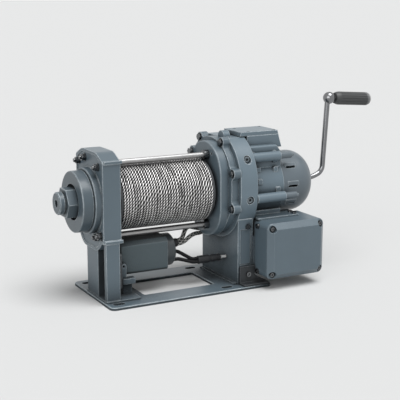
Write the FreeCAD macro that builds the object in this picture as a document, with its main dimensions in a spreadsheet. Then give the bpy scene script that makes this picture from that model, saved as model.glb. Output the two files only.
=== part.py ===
import FreeCAD, Part
import math
import os
import re
import Sketcher
from FreeCAD import Placement, Rotation, Vector

# Electric winch: drum, gear case, motor and hand crank on one axis above a slotted base plate.
# X runs along the drum axis from the shaft nose to the crank, Y away from the control box, Z up.
# The origin is the middle of the base plate on the floor. Sizes are in millimetres and degrees.
# Heights of coaxial pieces are measured from the drum axis.
DIMENSIONS = {
    "axis_height": 210,
    # fits and roundings that many pieces share
    "running_gap": 0.05, "close_gap": 0.1, "spigot_gap": 0.2, "overshoot": 1, "casting_round": 2.5,
    "edge_round": 2,
    # base plate
    "base_length": 380, "base_width": 216, "base_thick": 6, "base_corner": 12, "base_bevel": 1.2,
    "window_left": -91, "window_right": 76, "window_half": 52, "window_corner": 4,
    "slot_left": -165, "slot_right": 89, "slot_side": 86, "slot_reach": 6, "slot_radius": 7,
    # left pedestal, a flat leg in front of a broad post on a foot plate
    "leg_left": -186, "leg_right": -156, "leg_front": 74, "leg_back": 63, "post_front": 28,
    "post_back": 32, "foot_left": -188, "foot_right": -110, "foot_side": 77, "foot_lap": 4,
    "foot_thick": 4, "foot_corner": 6,
    # left bracket and bearing cover
    "bracket_left": -190, "bracket_thick": 39, "bracket_half": 72, "bracket_top": 105,
    "bracket_bottom": 101, "bracket_shelf": 80, "bracket_lip": 6, "bracket_recess": 1.5,
    "crown_half": 38, "lobe_half": 40, "lobe_root": 60, "shoulder_rise": 91, "shoulder_cut": 4,
    "bead_inner": 70, "bead_outer": 75, "bead_height": 7, "bead_shift": 3, "bead_round": 1.5,
    "cover_face": -229, "cover_radius": 64, "cover_bore": 38, "cover_flange": 69, "cover_step": -204,
    "cover_groove": 2, "cover_seat": 1,
    # bolts and stud nuts of the castings
    "bolt_flats": 13, "bolt_head": 8, "bolt_radius": 4, "case_grip": 29, "stud_nut": 9, "stud_tip": 4,
    "bracket_grip": 22,
    # drum, shaft and rope
    "shaft_nose": -263, "nose_radius": 23.7, "nose_bevel": 2, "centre_hole": 8.5, "centre_depth": 10,
    "centre_tip": 4, "neck_width": 4, "neck_depth": 2, "thread_radius": 22, "thread_run": 2,
    "journal_radius": 20, "seat_radius": 24, "seat_lead": 4, "seat_run": 2, "gear_seat_radius": 16,
    "gear_step": 6, "shaft_end": 137, "nut_left": -248, "nut_right": -218, "nut_corner_radius": 33.5,
    "drum_left": -147, "drum_right": 71, "drum_cheek": 5, "cheek_radius": 66, "barrel_radius": 43,
    "barrel_wall": 6, "drum_web": 4, "rope_radius": 69, "rope_thick": 6.2, "rope_turns": 33,
    "clamp_half": 14, "clamp_low": 44, "clamp_high": 59, "clamp_corner": 3, "clamp_thick": 4,
    "clamp_screw_side": 8, "clamp_screw_radius": 4, "clamp_screw_head": 3,
    # bearings and seals of the drum shaft
    "bearing_radius": 40, "bearing_split": 30, "bearing_width": 18, "bearing_left": -186,
    "bearing_right": 82, "bearing_land": 5, "bearing_lip": 3, "seal_radius": 27, "seal_width": 8,
    "seal_left": -197, "seal_right": 104, "seal_lip": 3,
    # tie rods
    "rod_radius": 6, "rod_front": -14, "rod_rise": 77, "rod_back": 62, "rod_back_rise": 47,
    "rod_left": -168, "rod_right": 96, "collar_length": 12, "collar_wall": 4.5,
    # right flange
    "flange_left": 80, "flange_thick": 20, "flange_half": 72, "flange_reach": 33,
    "ear_side": 58, "ear_rise": 72, "ear_radius": 15, "ear_bolt_shift": 2,
    "oil_hole_side": -31, "oil_hole_rise": 81, "oil_hole": 3,
    # gear case and its front shell
    "case_shift": 12, "case_upper": 15, "case_lower": -5, "case_radius": 108, "shell_radius": 97,
    "shell_left": 100, "case_left": 117, "case_right": 160, "room_right": 152.5, "room_radius": 50,
    "lug_circle": 102, "lug_radius": 11, "lug_hole": 4.2, "lug_fillet": 8, "lug_sink": 3, "lug_spot": 9,
    "lug_thread": 16, "boss_shift": 18, "boss_sink": 10, "boss_radius": 13, "boss_length": 16,
    "case_flat": 112.5, "lock_place": 141, "lock_floor": 72, "lock_well": 8.5, "lock_hole": 3,
    "lock_thread": 12, "lock_head": 6.5, "lock_head_high": 6, "lock_length": 11,
    "plug_place": 139, "plug_flats": 11, "plug_head": 9, "plug_length": 13, "plug_thread": 14,
    # gear train, two equal stages through a layshaft behind the drum axis
    "gear_module": 1.5, "gear_teeth": 60, "pinion_teeth": 12, "tooth_shift": 0.4,
    "pressure_angle": 20, "backlash": 0.1, "layshaft_side": 54, "output_left": 120, "output_right": 136,
    "input_left": 139, "input_right": 150, "pinion_lap": 1, "layshaft_radius": 6.5,
    "layshaft_seat": 7.5, "bush_radius": 10, "bush_left": 103, "end_float": 1,
    # motor
    "motor_right": 242, "motor_radius": 70, "stator_radius": 58, "rotor_radius": 35.5, "rotor_bore": 11,
    "air_gap": 0.5, "stator_left": 184, "stator_right": 226, "winding_reach": 8, "winding_inset": 4,
    "motor_bearing_radius": 20, "motor_bearing_split": 14.2, "motor_bearing_lip": 1,
    "motor_journal": 8.5, "front_bearing": 163, "rear_bearing": 236, "motor_bearing_width": 12,
    "journal_end": 251, "motor_wall": 175, "pinion_shaft": 7, "socket_radius": 10, "socket_left": 298,
    "socket_right": 342,
    "tie_front": 63, "tie_upper": 70, "tie_side": 87, "tie_lower": -16, "tie_back": 50,
    "tie_back_lower": -68, "tie_root": 150, "tie_radius": 3.5, "tie_end": 268,
    "tube_radius": 10.5, "tube_right": 232, "sleeve_radius": 7.5, "sleeve_length": 30,
    "saddle_left": 163, "saddle_half": 54, "saddle_low": 43, "saddle_top": 93, "saddle_drop": 16,
    "saddle_run": 12, "saddle_round": 4, "rib_width": 9, "rib_low": 63, "rib_high": 81, "rib_round": 3,
    "rib_proud": 4, "web_half": 5, "web_width": 12, "pad_side": 11, "pad_depth": 11,
    "shield_rim": 8, "shield_bore": 12,
    "cap_shoulder": 291, "cap_round": 44, "cap_radius": 69, "cap_wall": 3, "cap_hole": 11.5,
    "louvre_count": 10, "louvre_inset": 10, "louvre_slot": 5, "louvre_hood": 8, "louvre_root": 2,
    "louvre_proud": 1.6, "slot_inset": 13,
    "fan_left": 262, "fan_right": 284, "fan_bore": 8, "fan_hub": 18, "fan_tip": 58, "fan_blades": 7,
    "blade_half": 7, "blade_inset": 1, "blade_thick": 4, "blade_root": 2,
    # terminal box on the motor saddle
    "terminal_left": 165, "terminal_right": 243, "terminal_half": 37, "terminal_seam": 114,
    "terminal_top": 123, "terminal_run": 13, "terminal_drop": 8, "terminal_flare": 11,
    "terminal_lean": 2.5, "terminal_side": 12, "terminal_floor": 3, "terminal_corner": 4,
    "terminal_screw_inset": 6.5, "hood_left": 148, "hood_lean": 2, "hood_grip": 4,
    # control box, its screws and what it holds
    "box_left": 160.3, "box_right": 304, "box_bottom": 24, "box_top": 147, "box_back": 46,
    "box_seam": 130, "box_front": 144, "box_wall": 3.5, "box_corner": 13, "lid_slope": 12,
    "lid_rim": 3, "lid_floor": 1, "lid_screw_inset": 11, "lid_well": 7.5, "pillar_radius": 7.5,
    "screw_radius": 2.5, "screw_head": 4.5, "screw_head_high": 4, "screw_length": 11,
    "screw_thread": 12, "side_screw": -96,
    "rail_inset": 25, "rail_low": 72, "rail_high": 103, "rail_thick": 8,
    "relay_first": 192, "relay_second": 242, "relay_width": 40, "relay_low": 62, "relay_high": 113,
    "relay_deep": 46,
    # right pedestal, its bracket and the shelf on the control box
    "pedestal_left": 118, "pedestal_right": 155, "pedestal_front": 82, "pedestal_back": 80,
    "pedestal_top": 165, "pedestal_wall": 6, "cavity_top": 86, "toe_left": 110, "toe_half": 78,
    "toe_thick": 3, "toe_lap": 2, "panel_left": 124, "panel_right": 150, "panel_bottom": 50,
    "panel_top": 128, "panel_depth": 3, "panel_gap": 0.5, "panel_sink": 1,
    "pedestal_bolt": 142, "pedestal_bolt_high": 134, "pedestal_bolt_low": 28,
    "pedestal_thread": 9, "pedestal_screw": 3, "pedestal_head": 5.5, "pedestal_head_high": 4,
    "pedestal_screw_length": 8.5,
    "angle_thick": 4, "angle_left": 122, "angle_right": 186, "angle_top": 46, "angle_tip": 182,
    "angle_tip_high": 12, "angle_corner": 4, "angle_gap": 1, "angle_cut": 2,
    "hanger_low": 42, "hanger_high": 111, "hanger_gap": 2, "hanger_corner": 4,
    "shelf_left": 164.3, "shelf_right": 268, "shelf_front": 92, "shelf_thick": 4, "shelf_corner": 3,
    "shelf_screw": 260, "shelf_screw_front": 84, "shelf_screw_back": 68,
    "wedge_front": 60, "wedge_back": 50, "wedge_top": 160.5, "wedge_right": 240,
    # contactor under the drum
    "contactor_height": 84.5, "contactor_half": 35.5, "contactor_step": -136, "contactor_bevel": 9,
    "contactor_corner": 7, "contactor_cap": -28, "contactor_end": -7, "stage_inset": 3,
    "stage_corner": 8, "cap_bevel": 3, "plate_left": -156, "plate_right": -150, "plate_bottom": 30,
    "plate_top": 105, "plate_inset": 4, "plate_corner": 5,
    "stand_left": -141, "stand_right": -111, "stand_bottom": 34, "stand_top": 46, "stand_deep": 16,
    "stem_inset": 4, "stem_deep": 7, "ear_post": -135, "ear_post_top": 71, "ear_post_radius": 6,
    "ear_post_deep": 9, "ear_post_hole": 2.5, "ear_post_thread": 6,
    "gland_height": 96, "gland_radius": 11, "gland_hex": 8, "gland_end": 10, "gland_neck": 9.5,
    # cables, their plug and its pin
    "braid_radius": 4.6, "braid_gap": 0.3, "lead_radius": 4, "plug_side": -28, "plug_height": 58,
    "plug_left": 47, "plug_right": 102, "plug_body": 9, "plug_waist": 7, "plug_collar": 8.2,
    "plug_waist_left": 76, "plug_collar_left": 81, "plug_groove_left": 93, "plug_groove_right": 97,
    "plug_slope": 1, "pin_root": 4, "pin_radius": 3, "pin_taper": 4, "pin_lap": 5, "pin_hole": 3.2,
    # hand crank
    "crank_radius": 6, "crank_root": 318, "crank_elbow": 362, "elbow_bend": 60, "crank_knee": 391,
    "crank_knee_rise": 11, "knee_bend": 22, "crank_top": 401.6, "crank_top_rise": 176,
    "ball_shift": 406, "ball_rise": 182, "ball_radius": 14, "spindle_radius": 5, "spindle_root": 4,
    "grip_tilt": 4, "grip_start": 15, "grip_end": 107, "grip_radius": 15.2,
    "grip_crown": 20, "grip_crown_reach": 8, "grip_waist": 3, "grip_flutes": 16,
    "flute_radius": 1.4, "flute_lift": 0.4, "flute_start": 12, "flute_end": 4,
    "button_gap": 0.4, "button_thick": 4, "button_inset": 1.5,
}

doc = FreeCAD.newDocument("electric_winch")
sheet = doc.addObject("Spreadsheet::Sheet", "dims")
for row, (alias, number) in enumerate(DIMENSIONS.items(), start=1):
    sheet.set(f"A{row}", alias)
    sheet.set(f"B{row}", str(number))
    sheet.setAlias(f"B{row}", alias)
doc.recompute()

AXIS_X = Vector(1, 0, 0)
AXIS_Y = Vector(0, 1, 0)
AXIS_Z = Vector(0, 0, 1)
nodes = []


def bound(expression):
    """The expression with each dimension's name pointing at its cell."""
    def cell(word):
        return f"dims.{word.group()}" if word.group() in DIMENSIONS else word.group()
    return re.sub(r"[a-z][a-z_]*", cell, str(expression))


def size(expression):
    """The number that an expression of dimensions comes to."""
    return float(sheet.evalExpression(bound(expression)))


def new_body(label, coaxial=True, node=True):
    """An empty body, with its X axis on the drum axis where it is coaxial."""
    body = doc.addObject("PartDesign::Body", label)
    body.Label = label
    if coaxial:
        body.setExpression("Placement.Base.z", bound("axis_height"))
    if node:
        nodes.append(body)
    return body


def origin_item(body, role):
    return next(item for item in body.Origin.OriginFeatures if item.Role == role)


def sketch_on(body, plane, offset="0"):
    """A sketch on an origin plane, moved along the plane's normal by offset."""
    sketch = body.newObject("Sketcher::SketchObject", "profile")
    sketch.AttachmentSupport = [(origin_item(body, plane), "")]
    sketch.MapMode = "FlatFace"
    sketch.setExpression("AttachmentOffset.Base.z", bound(offset))
    return sketch


def fix(sketch, constraint, expression):
    """Adds a dimension to a sketch and binds it."""
    index = sketch.addConstraint(constraint)
    sketch.setExpression(f"Constraints[{index}]", bound(expression))


def fix_point(sketch, item, end, place):
    """Binds a point of a sketch to its two coordinates."""
    fix(sketch, Sketcher.Constraint("DistanceX", -1, 1, item, end, size(place[0])), place[0])
    fix(sketch, Sketcher.Constraint("DistanceY", -1, 1, item, end, size(place[1])), place[1])


def circle(sketch, place, radius):
    centre = Vector(size(place[0]), size(place[1]), 0)
    item = sketch.addGeometry(Part.Circle(centre, AXIS_Z, size(radius)), False)
    fix(sketch, Sketcher.Constraint("Radius", item, size(radius)), radius)
    fix_point(sketch, item, 3, place)


def join_smoothly(sketch, line, line_end, arc, point):
    """Makes a line run tangentially into the end of an arc that lies at point."""
    arc_end = 1 if sketch.getPoint(arc, 1).distanceToPoint(point) < 1e-6 else 2
    sketch.addConstraint(Sketcher.Constraint("Tangent", line, line_end, arc, arc_end))


def outline(sketch, corners, closed=True):
    """Lines through corners (across, up) or (across, up, rounding), given as expressions."""
    count = len(corners)
    points = [Vector(size(corner[0]), size(corner[1]), 0) for corner in corners]
    arrive, leave, middles = list(points), list(points), {}
    for index, corner in enumerate(corners):
        if len(corner) < 3:
            continue
        point = points[index]
        back = (points[index - 1] - point).normalize()
        ahead = (points[(index + 1) % count] - point).normalize()
        half = back.getAngle(ahead) / 2
        rounding = size(corner[2])
        arrive[index] = point + back * (rounding / math.tan(half))
        leave[index] = point + ahead * (rounding / math.tan(half))
        middles[index] = point + (back + ahead).normalize() * (rounding / math.sin(half) - rounding)
    runs = count if closed else count - 1
    lines = []
    for index in range(runs):
        line = Part.LineSegment(leave[index], arrive[(index + 1) % count])
        lines.append(sketch.addGeometry(line, False))
    for index, corner in enumerate(corners):
        before = lines[index - 1] if closed or index else None
        after = lines[index] if index < runs else None
        if index in middles:
            arc = sketch.addGeometry(Part.Arc(arrive[index], middles[index], leave[index]), False)
            point = sketch.addGeometry(Part.Point(points[index]), True)
            join_smoothly(sketch, before, 2, arc, arrive[index])
            join_smoothly(sketch, after, 1, arc, leave[index])
            fix(sketch, Sketcher.Constraint("Radius", arc, size(corner[2])), corner[2])
            sketch.addConstraint(Sketcher.Constraint("PointOnObject", point, 1, before))
            sketch.addConstraint(Sketcher.Constraint("PointOnObject", point, 1, after))
            fix_point(sketch, point, 1, corner)
            continue
        if before is not None and after is not None:
            sketch.addConstraint(Sketcher.Constraint("Coincident", before, 2, after, 1))
        if after is not None:
            fix_point(sketch, after, 1, corner)
        else:
            fix_point(sketch, before, 2, corner)


def six_corners(radius, height="0"):
    """The corners of a hexagon round a point on the upright axis."""
    return [(f"{radius} * cos({turn})", f"{height} + {radius} * sin({turn})") for turn in range(0, 360, 60)]


def rectangle(sketch, left, right, bottom, top, rounding=None):
    corners = [(left, bottom), (right, bottom), (right, top), (left, top)]
    if rounding:
        corners = [(*corner, rounding) for corner in corners]
    outline(sketch, corners)


def obround(sketch, first, second, radius):
    """A slot outline round two centres that lie side by side or one above the other."""
    ends = [Vector(size(place[0]), size(place[1]), 0) for place in (first, second)]
    reach = size(radius)
    along = (ends[1] - ends[0]).normalize()
    side = Vector(-along.y, along.x, 0) * reach
    arcs = []
    for centre, outward, place in ((ends[0], -along, first), (ends[1], along, second)):
        arc = sketch.addGeometry(Part.Arc(centre + side, centre + outward * reach, centre - side), False)
        fix(sketch, Sketcher.Constraint("Radius", arc, reach), radius)
        fix_point(sketch, arc, 3, place)
        arcs.append(arc)
    for offset in (side, -side):
        line = sketch.addGeometry(Part.LineSegment(ends[0] + offset, ends[1] + offset), False)
        join_smoothly(sketch, line, 1, arcs[0], ends[0] + offset)
        join_smoothly(sketch, line, 2, arcs[1], ends[1] + offset)


def pad(body, sketch, length, reverse=False, both_ways=False):
    feature = body.newObject("PartDesign::Pad", "pad")
    feature.Profile = sketch
    feature.Reversed = reverse
    feature.Midplane = both_ways
    feature.setExpression("Length", bound(length))
    return feature


def pocket(body, sketch, depth, forward=False):
    """Cuts against the sketch's normal, or along it where forward is set."""
    feature = body.newObject("PartDesign::Pocket", "pocket")
    feature.Profile = sketch
    feature.Reversed = forward
    feature.setExpression("Length", bound(depth))
    return feature


def turn(body, *profiles):
    """Turns closed outlines (along, radius) about the body's X axis."""
    sketch = sketch_on(body, "XZ_Plane")
    for corners in profiles:
        outline(sketch, corners)
    feature = body.newObject("PartDesign::Revolution", "turned")
    feature.Profile = sketch
    feature.ReferenceAxis = (sketch, ["H_Axis"])
    return feature


def ring(left, right, inner, outer):
    """The cross-section of a plain ring, for turning."""
    return [(left, inner), (right, inner), (right, outer), (left, outer)]


def spread(body, feature, count):
    """Repeats a feature evenly round the body's X axis."""
    doc.recompute()
    pattern = body.newObject("PartDesign::PolarPattern", "pattern")
    pattern.Originals = [feature]
    pattern.Axis = (origin_item(body, "X_Axis"), [""])
    pattern.Angle = 360
    pattern.setExpression("Occurrences", bound(count))
    body.Tip = pattern


def soften(body, amount, kind, chosen):
    """Rounds (Fillet) or bevels (Chamfer) the edges of a body that chosen picks."""
    doc.recompute()
    tip = body.Tip
    names = [f"Edge{index}" for index, edge in enumerate(tip.Shape.Edges, start=1) if chosen(edge)]
    feature = body.newObject(f"PartDesign::{kind}", "edges")
    feature.Base = (tip, names)
    feature.setExpression("Radius" if kind == "Fillet" else "Size", bound(amount))


def in_plane(axis, place, shortest=0):
    """Chooses the edges longer than shortest in the plane axis = place."""
    level = size(place)

    def chosen(edge):
        low, high = getattr(edge.BoundBox, f"{axis}Min"), getattr(edge.BoundBox, f"{axis}Max")
        return max(abs(low - level), abs(high - level)) < 0.01 and edge.Length > shortest
    return chosen


def made(label, shape, place=None):
    """A node whose shape is worked out here, put at its place."""
    feature = doc.addObject("Part::Feature", label)
    feature.Label = label
    feature.Shape = shape
    if place is not None:
        feature.Placement = place
    nodes.append(feature)
    return feature


def combined(label, kind, base, tool, node=True):
    """Two objects fused (Fuse) or cut (Cut) into one."""
    feature = doc.addObject(f"Part::{kind}", label)
    feature.Label = label
    feature.Base = base
    feature.Tool = tool
    if node:
        nodes.append(feature)
    return feature


def over_axis(x, y, z):
    """A point whose height is given from the drum axis."""
    return Vector(size(x), size(y), size("axis_height") + size(z))


def rod(radius, left, right):
    """A round bar on the X axis from left to right."""
    return Part.makeCylinder(size(radius), size(right) - size(left), AXIS_X * size(left), AXIS_X)


def hex_bolt(flats, head, shank, length, tip="0"):
    """A flanged bolt or stud nut: its seat at the origin, head and stud tip towards -X, shank towards +X."""
    corner = size(flats) / math.sqrt(3)
    turns = [math.radians(60 * step) for step in range(7)]
    hexagon = Part.makePolygon([Vector(0, corner * math.cos(a), corner * math.sin(a)) for a in turns])
    bolt = Part.Face(hexagon).extrude(AXIS_X * -size(head))
    collar = rod(1.1 * corner, f"-{head} / 4", "0")
    return bolt.fuse([collar, rod(shank, f"-{head} - {tip}", length)]).removeSplitter()


def socket_screw(head_radius, head, shank, length):
    """A cap screw with a round socket: its seat at the origin, head towards -X, shank towards +X."""
    screw = rod(head_radius, f"-{head}", "0").cut(rod(f"{head_radius} / 2", f"-{head}", f"-0.4 * {head}"))
    return screw.fuse(rod(shank, "0", length)).removeSplitter()


def group(label, solid, places):
    """One node of equal solids, each at a point and with its X axis turned to a direction."""
    copies = []
    for point, direction in places:
        copy = solid.copy()
        copy.Placement = Placement(point, Rotation(AXIS_X, direction))
        copies.append(copy)
    made(label, Part.makeCompound(copies))


# Base plate with its window and four slots
base = new_body("base_plate", coaxial=False)
plan = sketch_on(base, "XY_Plane")
rectangle(plan, "-base_length / 2", "base_length / 2", "-base_width / 2", "base_width / 2", "base_corner")
pad(base, plan, "base_thick")
holes = sketch_on(base, "XY_Plane", "base_thick")
rectangle(holes, "window_left", "window_right", "-window_half", "window_half", "window_corner")
for slot_x in ("slot_left", "slot_right"):
    for slot_y in ("-slot_side", "slot_side"):
        obround(holes, (f"{slot_x} - slot_reach", slot_y), (f"{slot_x} + slot_reach", slot_y), "slot_radius")
pocket(base, holes, "base_thick")
soften(base, "base_bevel", "Chamfer", in_plane("Z", "base_thick", 60))

# Left pedestal
legs = new_body("left_pedestal", coaxial=False)
foot = sketch_on(legs, "XY_Plane", "base_thick")
rectangle(foot, "foot_left", "foot_right", "-foot_side", "post_back + foot_lap", "foot_corner")
pad(legs, foot, "foot_thick")
leg_plan = sketch_on(legs, "XY_Plane", "base_thick + foot_thick")
rectangle(leg_plan, "leg_left", "leg_right", "-leg_front", "-leg_back")
pad(legs, leg_plan, "axis_height - bracket_shelf - base_thick - foot_thick")
post_plan = sketch_on(legs, "XY_Plane", "base_thick + foot_thick")
rectangle(post_plan, "leg_left", "leg_right", "-post_front", "post_back", "edge_round")
pad(legs, post_plan, "axis_height - bracket_bottom - base_thick - foot_thick")


def bracket_corners(inset):
    """The left bracket's outline, drawn in by inset all round."""
    half = f"(bracket_half - {inset})"
    shoulder = f"(shoulder_rise - {inset})"
    right = [
        ("lobe_half", f"-bracket_bottom + {inset}", "lobe_half"),
        (f"lobe_root - {inset}", f"-bracket_shelf + {inset}"), (half, f"-bracket_shelf + {inset}"),
        (half, f"{shoulder} - shoulder_cut"), (f"{half} - shoulder_cut", shoulder),
        ("crown_half", f"bracket_top - {inset}", "crown_half"),
    ]
    left = [(f"-({corner[0]})", *corner[1:]) for corner in reversed(right)]
    return right + left


# Left bracket: bearing bore, raised lip round its outer face, and a seat for the bearing cover
BRACKET_BOLTS = [
    ("57", "76"), ("24", "87"), ("-46", "76"), ("-37", "-71"), ("-56.5", "-65"), ("52", "-65"),
]
ROD_PLACES = [
    ("rod_front", "rod_rise"), ("rod_front", "-rod_rise"),
    ("rod_back", "rod_back_rise"), ("rod_back", "-rod_back_rise"),
]
bracket = new_body("left_bracket")
face = sketch_on(bracket, "YZ_Plane", "bracket_left")
outline(face, bracket_corners("0"))
pad(bracket, face, "bracket_thick")
beads = sketch_on(bracket, "YZ_Plane", "bracket_left + bead_shift")
for low in ("-bracket_shelf", "shoulder_rise - bead_height"):
    rectangle(beads, "-bead_outer", "-bead_inner", low, f"{low} + bead_height", "bead_round")
    rectangle(beads, "bead_inner", "bead_outer", low, f"{low} + bead_height", "bead_round")
pad(bracket, beads, "bracket_thick")
dish = sketch_on(bracket, "YZ_Plane", "bracket_left")
outline(dish, bracket_corners("bracket_lip"))
pocket(bracket, dish, "bracket_recess", forward=True)
seat = sketch_on(bracket, "YZ_Plane", "bracket_left")
circle(seat, ("0", "0"), "cover_flange + cover_seat")
pad(bracket, seat, "bracket_recess")
bore = sketch_on(bracket, "YZ_Plane", "bracket_left")
circle(bore, ("0", "0"), "bearing_radius")
pocket(bracket, bore, "bearing_left + bearing_width - bracket_left", forward=True)
bore = sketch_on(bracket, "YZ_Plane", "bracket_left")
circle(bore, ("0", "0"), "bearing_radius - bearing_land")
pocket(bracket, bore, "bracket_thick", forward=True)
bolt_holes = sketch_on(bracket, "YZ_Plane", "bracket_left + bracket_recess")
for place in BRACKET_BOLTS:
    circle(bolt_holes, place, "lug_hole")
pocket(bracket, bolt_holes, "bracket_grip", forward=True)
rod_holes = sketch_on(bracket, "YZ_Plane", "bracket_left + bracket_thick")
for place in ROD_PLACES:
    circle(rod_holes, place, "rod_radius")
pocket(bracket, rod_holes, "bracket_left + bracket_thick - rod_left")
stud = hex_bolt("bolt_flats", "stud_nut", "bolt_radius", "bracket_grip", "stud_tip")
group("bracket_bolts", stud, [
    (over_axis("bracket_left + bracket_recess", y, z), AXIS_X) for y, z in BRACKET_BOLTS])

# Bearing cover: a deep boss round the shaft nut, with a spigot that holds the bearing
cover = new_body("bearing_cover")
turn(cover, [
    ("cover_face", "cover_bore"), ("cover_face", "cover_radius", "edge_round"),
    ("cover_step - cover_groove", "cover_radius"),
    ("cover_step - cover_groove", "cover_radius - cover_groove"),
    ("cover_step", "cover_radius - cover_groove"), ("cover_step", "cover_flange", "edge_round"),
    ("bracket_left", "cover_flange"), ("bracket_left", "bearing_radius - spigot_gap"),
    ("bearing_left", "bearing_radius - spigot_gap"), ("bearing_left", "bearing_split + bearing_lip"),
    ("seal_left + seal_width", "bearing_split + bearing_lip"), ("seal_left + seal_width", "seal_radius"),
    ("seal_left", "seal_radius"), ("seal_left", "journal_radius + seal_lip"),
    ("seal_left - seal_lip", "journal_radius + seal_lip"), ("seal_left - seal_lip", "cover_bore"),
])

# Drum shaft with a centre hole and a groove in its nose
shaft = new_body("drum_shaft")
turn(shaft, [
    ("shaft_nose + centre_depth + centre_tip", "0"), ("shaft_nose + centre_depth", "centre_hole"),
    ("shaft_nose", "centre_hole"), ("shaft_nose", "nose_radius - nose_bevel"),
    ("shaft_nose + nose_bevel", "nose_radius"), ("nut_left - neck_width", "nose_radius"),
    ("nut_left - neck_width", "thread_radius - neck_depth"), ("nut_left", "thread_radius - neck_depth"),
    ("nut_left", "thread_radius"), ("nut_right + thread_run", "thread_radius"),
    ("nut_right + thread_run", "journal_radius"), ("drum_left - seat_lead", "journal_radius"),
    ("drum_left - seat_lead", "seat_radius"), ("drum_right + seat_run", "seat_radius"),
    ("drum_right + seat_run", "journal_radius"), ("output_left - gear_step", "journal_radius"),
    ("output_left - gear_step", "gear_seat_radius"), ("shaft_end", "gear_seat_radius"), ("shaft_end", "0"),
])
nut = new_body("shaft_nut")
hexagon = sketch_on(nut, "YZ_Plane", "nut_left")
outline(hexagon, six_corners("nut_corner_radius"))
pad(nut, hexagon, "nut_right - nut_left")
bore = sketch_on(nut, "YZ_Plane", "nut_left")
circle(bore, ("0", "0"), "thread_radius")
pocket(nut, bore, "nut_right - nut_left", forward=True)

# Drum: a hollow barrel between two cheeks, bored for the shaft
ROPE_LEFT, ROPE_RIGHT = "drum_left + drum_cheek", "drum_right - drum_cheek"
BARREL_BORE = "barrel_radius - barrel_wall"
drum = new_body("drum")
turn(drum, [
    ("drum_left", "seat_radius"), ("drum_left", "cheek_radius"), (ROPE_LEFT, "cheek_radius"),
    (ROPE_LEFT, "barrel_radius"), (ROPE_RIGHT, "barrel_radius"), (ROPE_RIGHT, "cheek_radius"),
    ("drum_right", "cheek_radius"), ("drum_right", "seat_radius"),
    (f"{ROPE_RIGHT} - drum_web", "seat_radius"), (f"{ROPE_RIGHT} - drum_web", BARREL_BORE),
    (f"{ROPE_LEFT} + drum_web", BARREL_BORE), (f"{ROPE_LEFT} + drum_web", "seat_radius"),
])

# Wire rope: the inner layers as a sleeve, and the turns of the outer layer side by side on it
ROPE_PITCH = f"({ROPE_RIGHT} - ({ROPE_LEFT})) / rope_turns"
ROPE_BED = "rope_radius - rope_thick * cos(30) / 2"
FIRST_TURN = f"{ROPE_LEFT} + {ROPE_PITCH} / 2"
rope = new_body("wire_rope")
turn(rope, ring(ROPE_LEFT, ROPE_RIGHT, "barrel_radius", ROPE_BED))
coil = turn(rope, [
    (f"{FIRST_TURN} - rope_thick / 2", f"{ROPE_BED} - overshoot"),
    (f"{FIRST_TURN} + rope_thick / 2", f"{ROPE_BED} - overshoot"),
    (f"{FIRST_TURN} + rope_thick / 2", ROPE_BED), (f"{FIRST_TURN} + rope_thick / 4", "rope_radius"),
    (f"{FIRST_TURN} - rope_thick / 4", "rope_radius"), (f"{FIRST_TURN} - rope_thick / 2", ROPE_BED),
])
doc.recompute()
turns = rope.newObject("PartDesign::LinearPattern", "turns_of_rope")
turns.Originals = [coil]
turns.Direction = (origin_item(rope, "X_Axis"), [""])
turns.setExpression("Length", bound(f"{ROPE_PITCH} * (rope_turns - 1)"))
turns.setExpression("Occurrences", bound("rope_turns"))
rope.Tip = turns
clamp = new_body("rope_clamp")
plate = sketch_on(clamp, "YZ_Plane", "drum_right")
rectangle(plate, "-clamp_half", "clamp_half", "clamp_low", "clamp_high", "clamp_corner")
pad(clamp, plate, "clamp_thick")
heads = sketch_on(clamp, "YZ_Plane", "drum_right + clamp_thick")
for across in ("-clamp_screw_side", "clamp_screw_side"):
    circle(heads, (across, "(clamp_low + clamp_high) / 2"), "clamp_screw_radius")
pad(clamp, heads, "clamp_screw_head")

# Sealed bearings and shaft seals of the drum shaft
BEARING_SPANS = [
    ("bearing_left", "bearing_left + bearing_width"), ("bearing_right", "bearing_right + bearing_width"),
]
turn(new_body("drum_bearing_outer_rings"), *[
    ring(left, right, "bearing_split + running_gap", "bearing_radius") for left, right in BEARING_SPANS])
turn(new_body("drum_bearing_inner_rings"), *[
    ring(left, right, "journal_radius", "bearing_split") for left, right in BEARING_SPANS])
turn(new_body("shaft_seals"), *[
    ring(left, f"{left} + seal_width", "journal_radius + running_gap", "seal_radius")
    for left in ("seal_left", "seal_right")])

# Tie rods with a collar nut against the right flange
rods = new_body("tie_rods")
rod_ends = sketch_on(rods, "YZ_Plane", "rod_left")
for place in ROD_PLACES:
    circle(rod_ends, place, "rod_radius")
pad(rods, rod_ends, "rod_right - rod_left")
collars = new_body("tie_rod_nuts")
collar_faces = sketch_on(collars, "YZ_Plane", "flange_left - collar_length")
for place in ROD_PLACES:
    circle(collar_faces, place, "rod_radius + collar_wall")
    circle(collar_faces, place, "rod_radius")
pad(collars, collar_faces, "collar_length")

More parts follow.
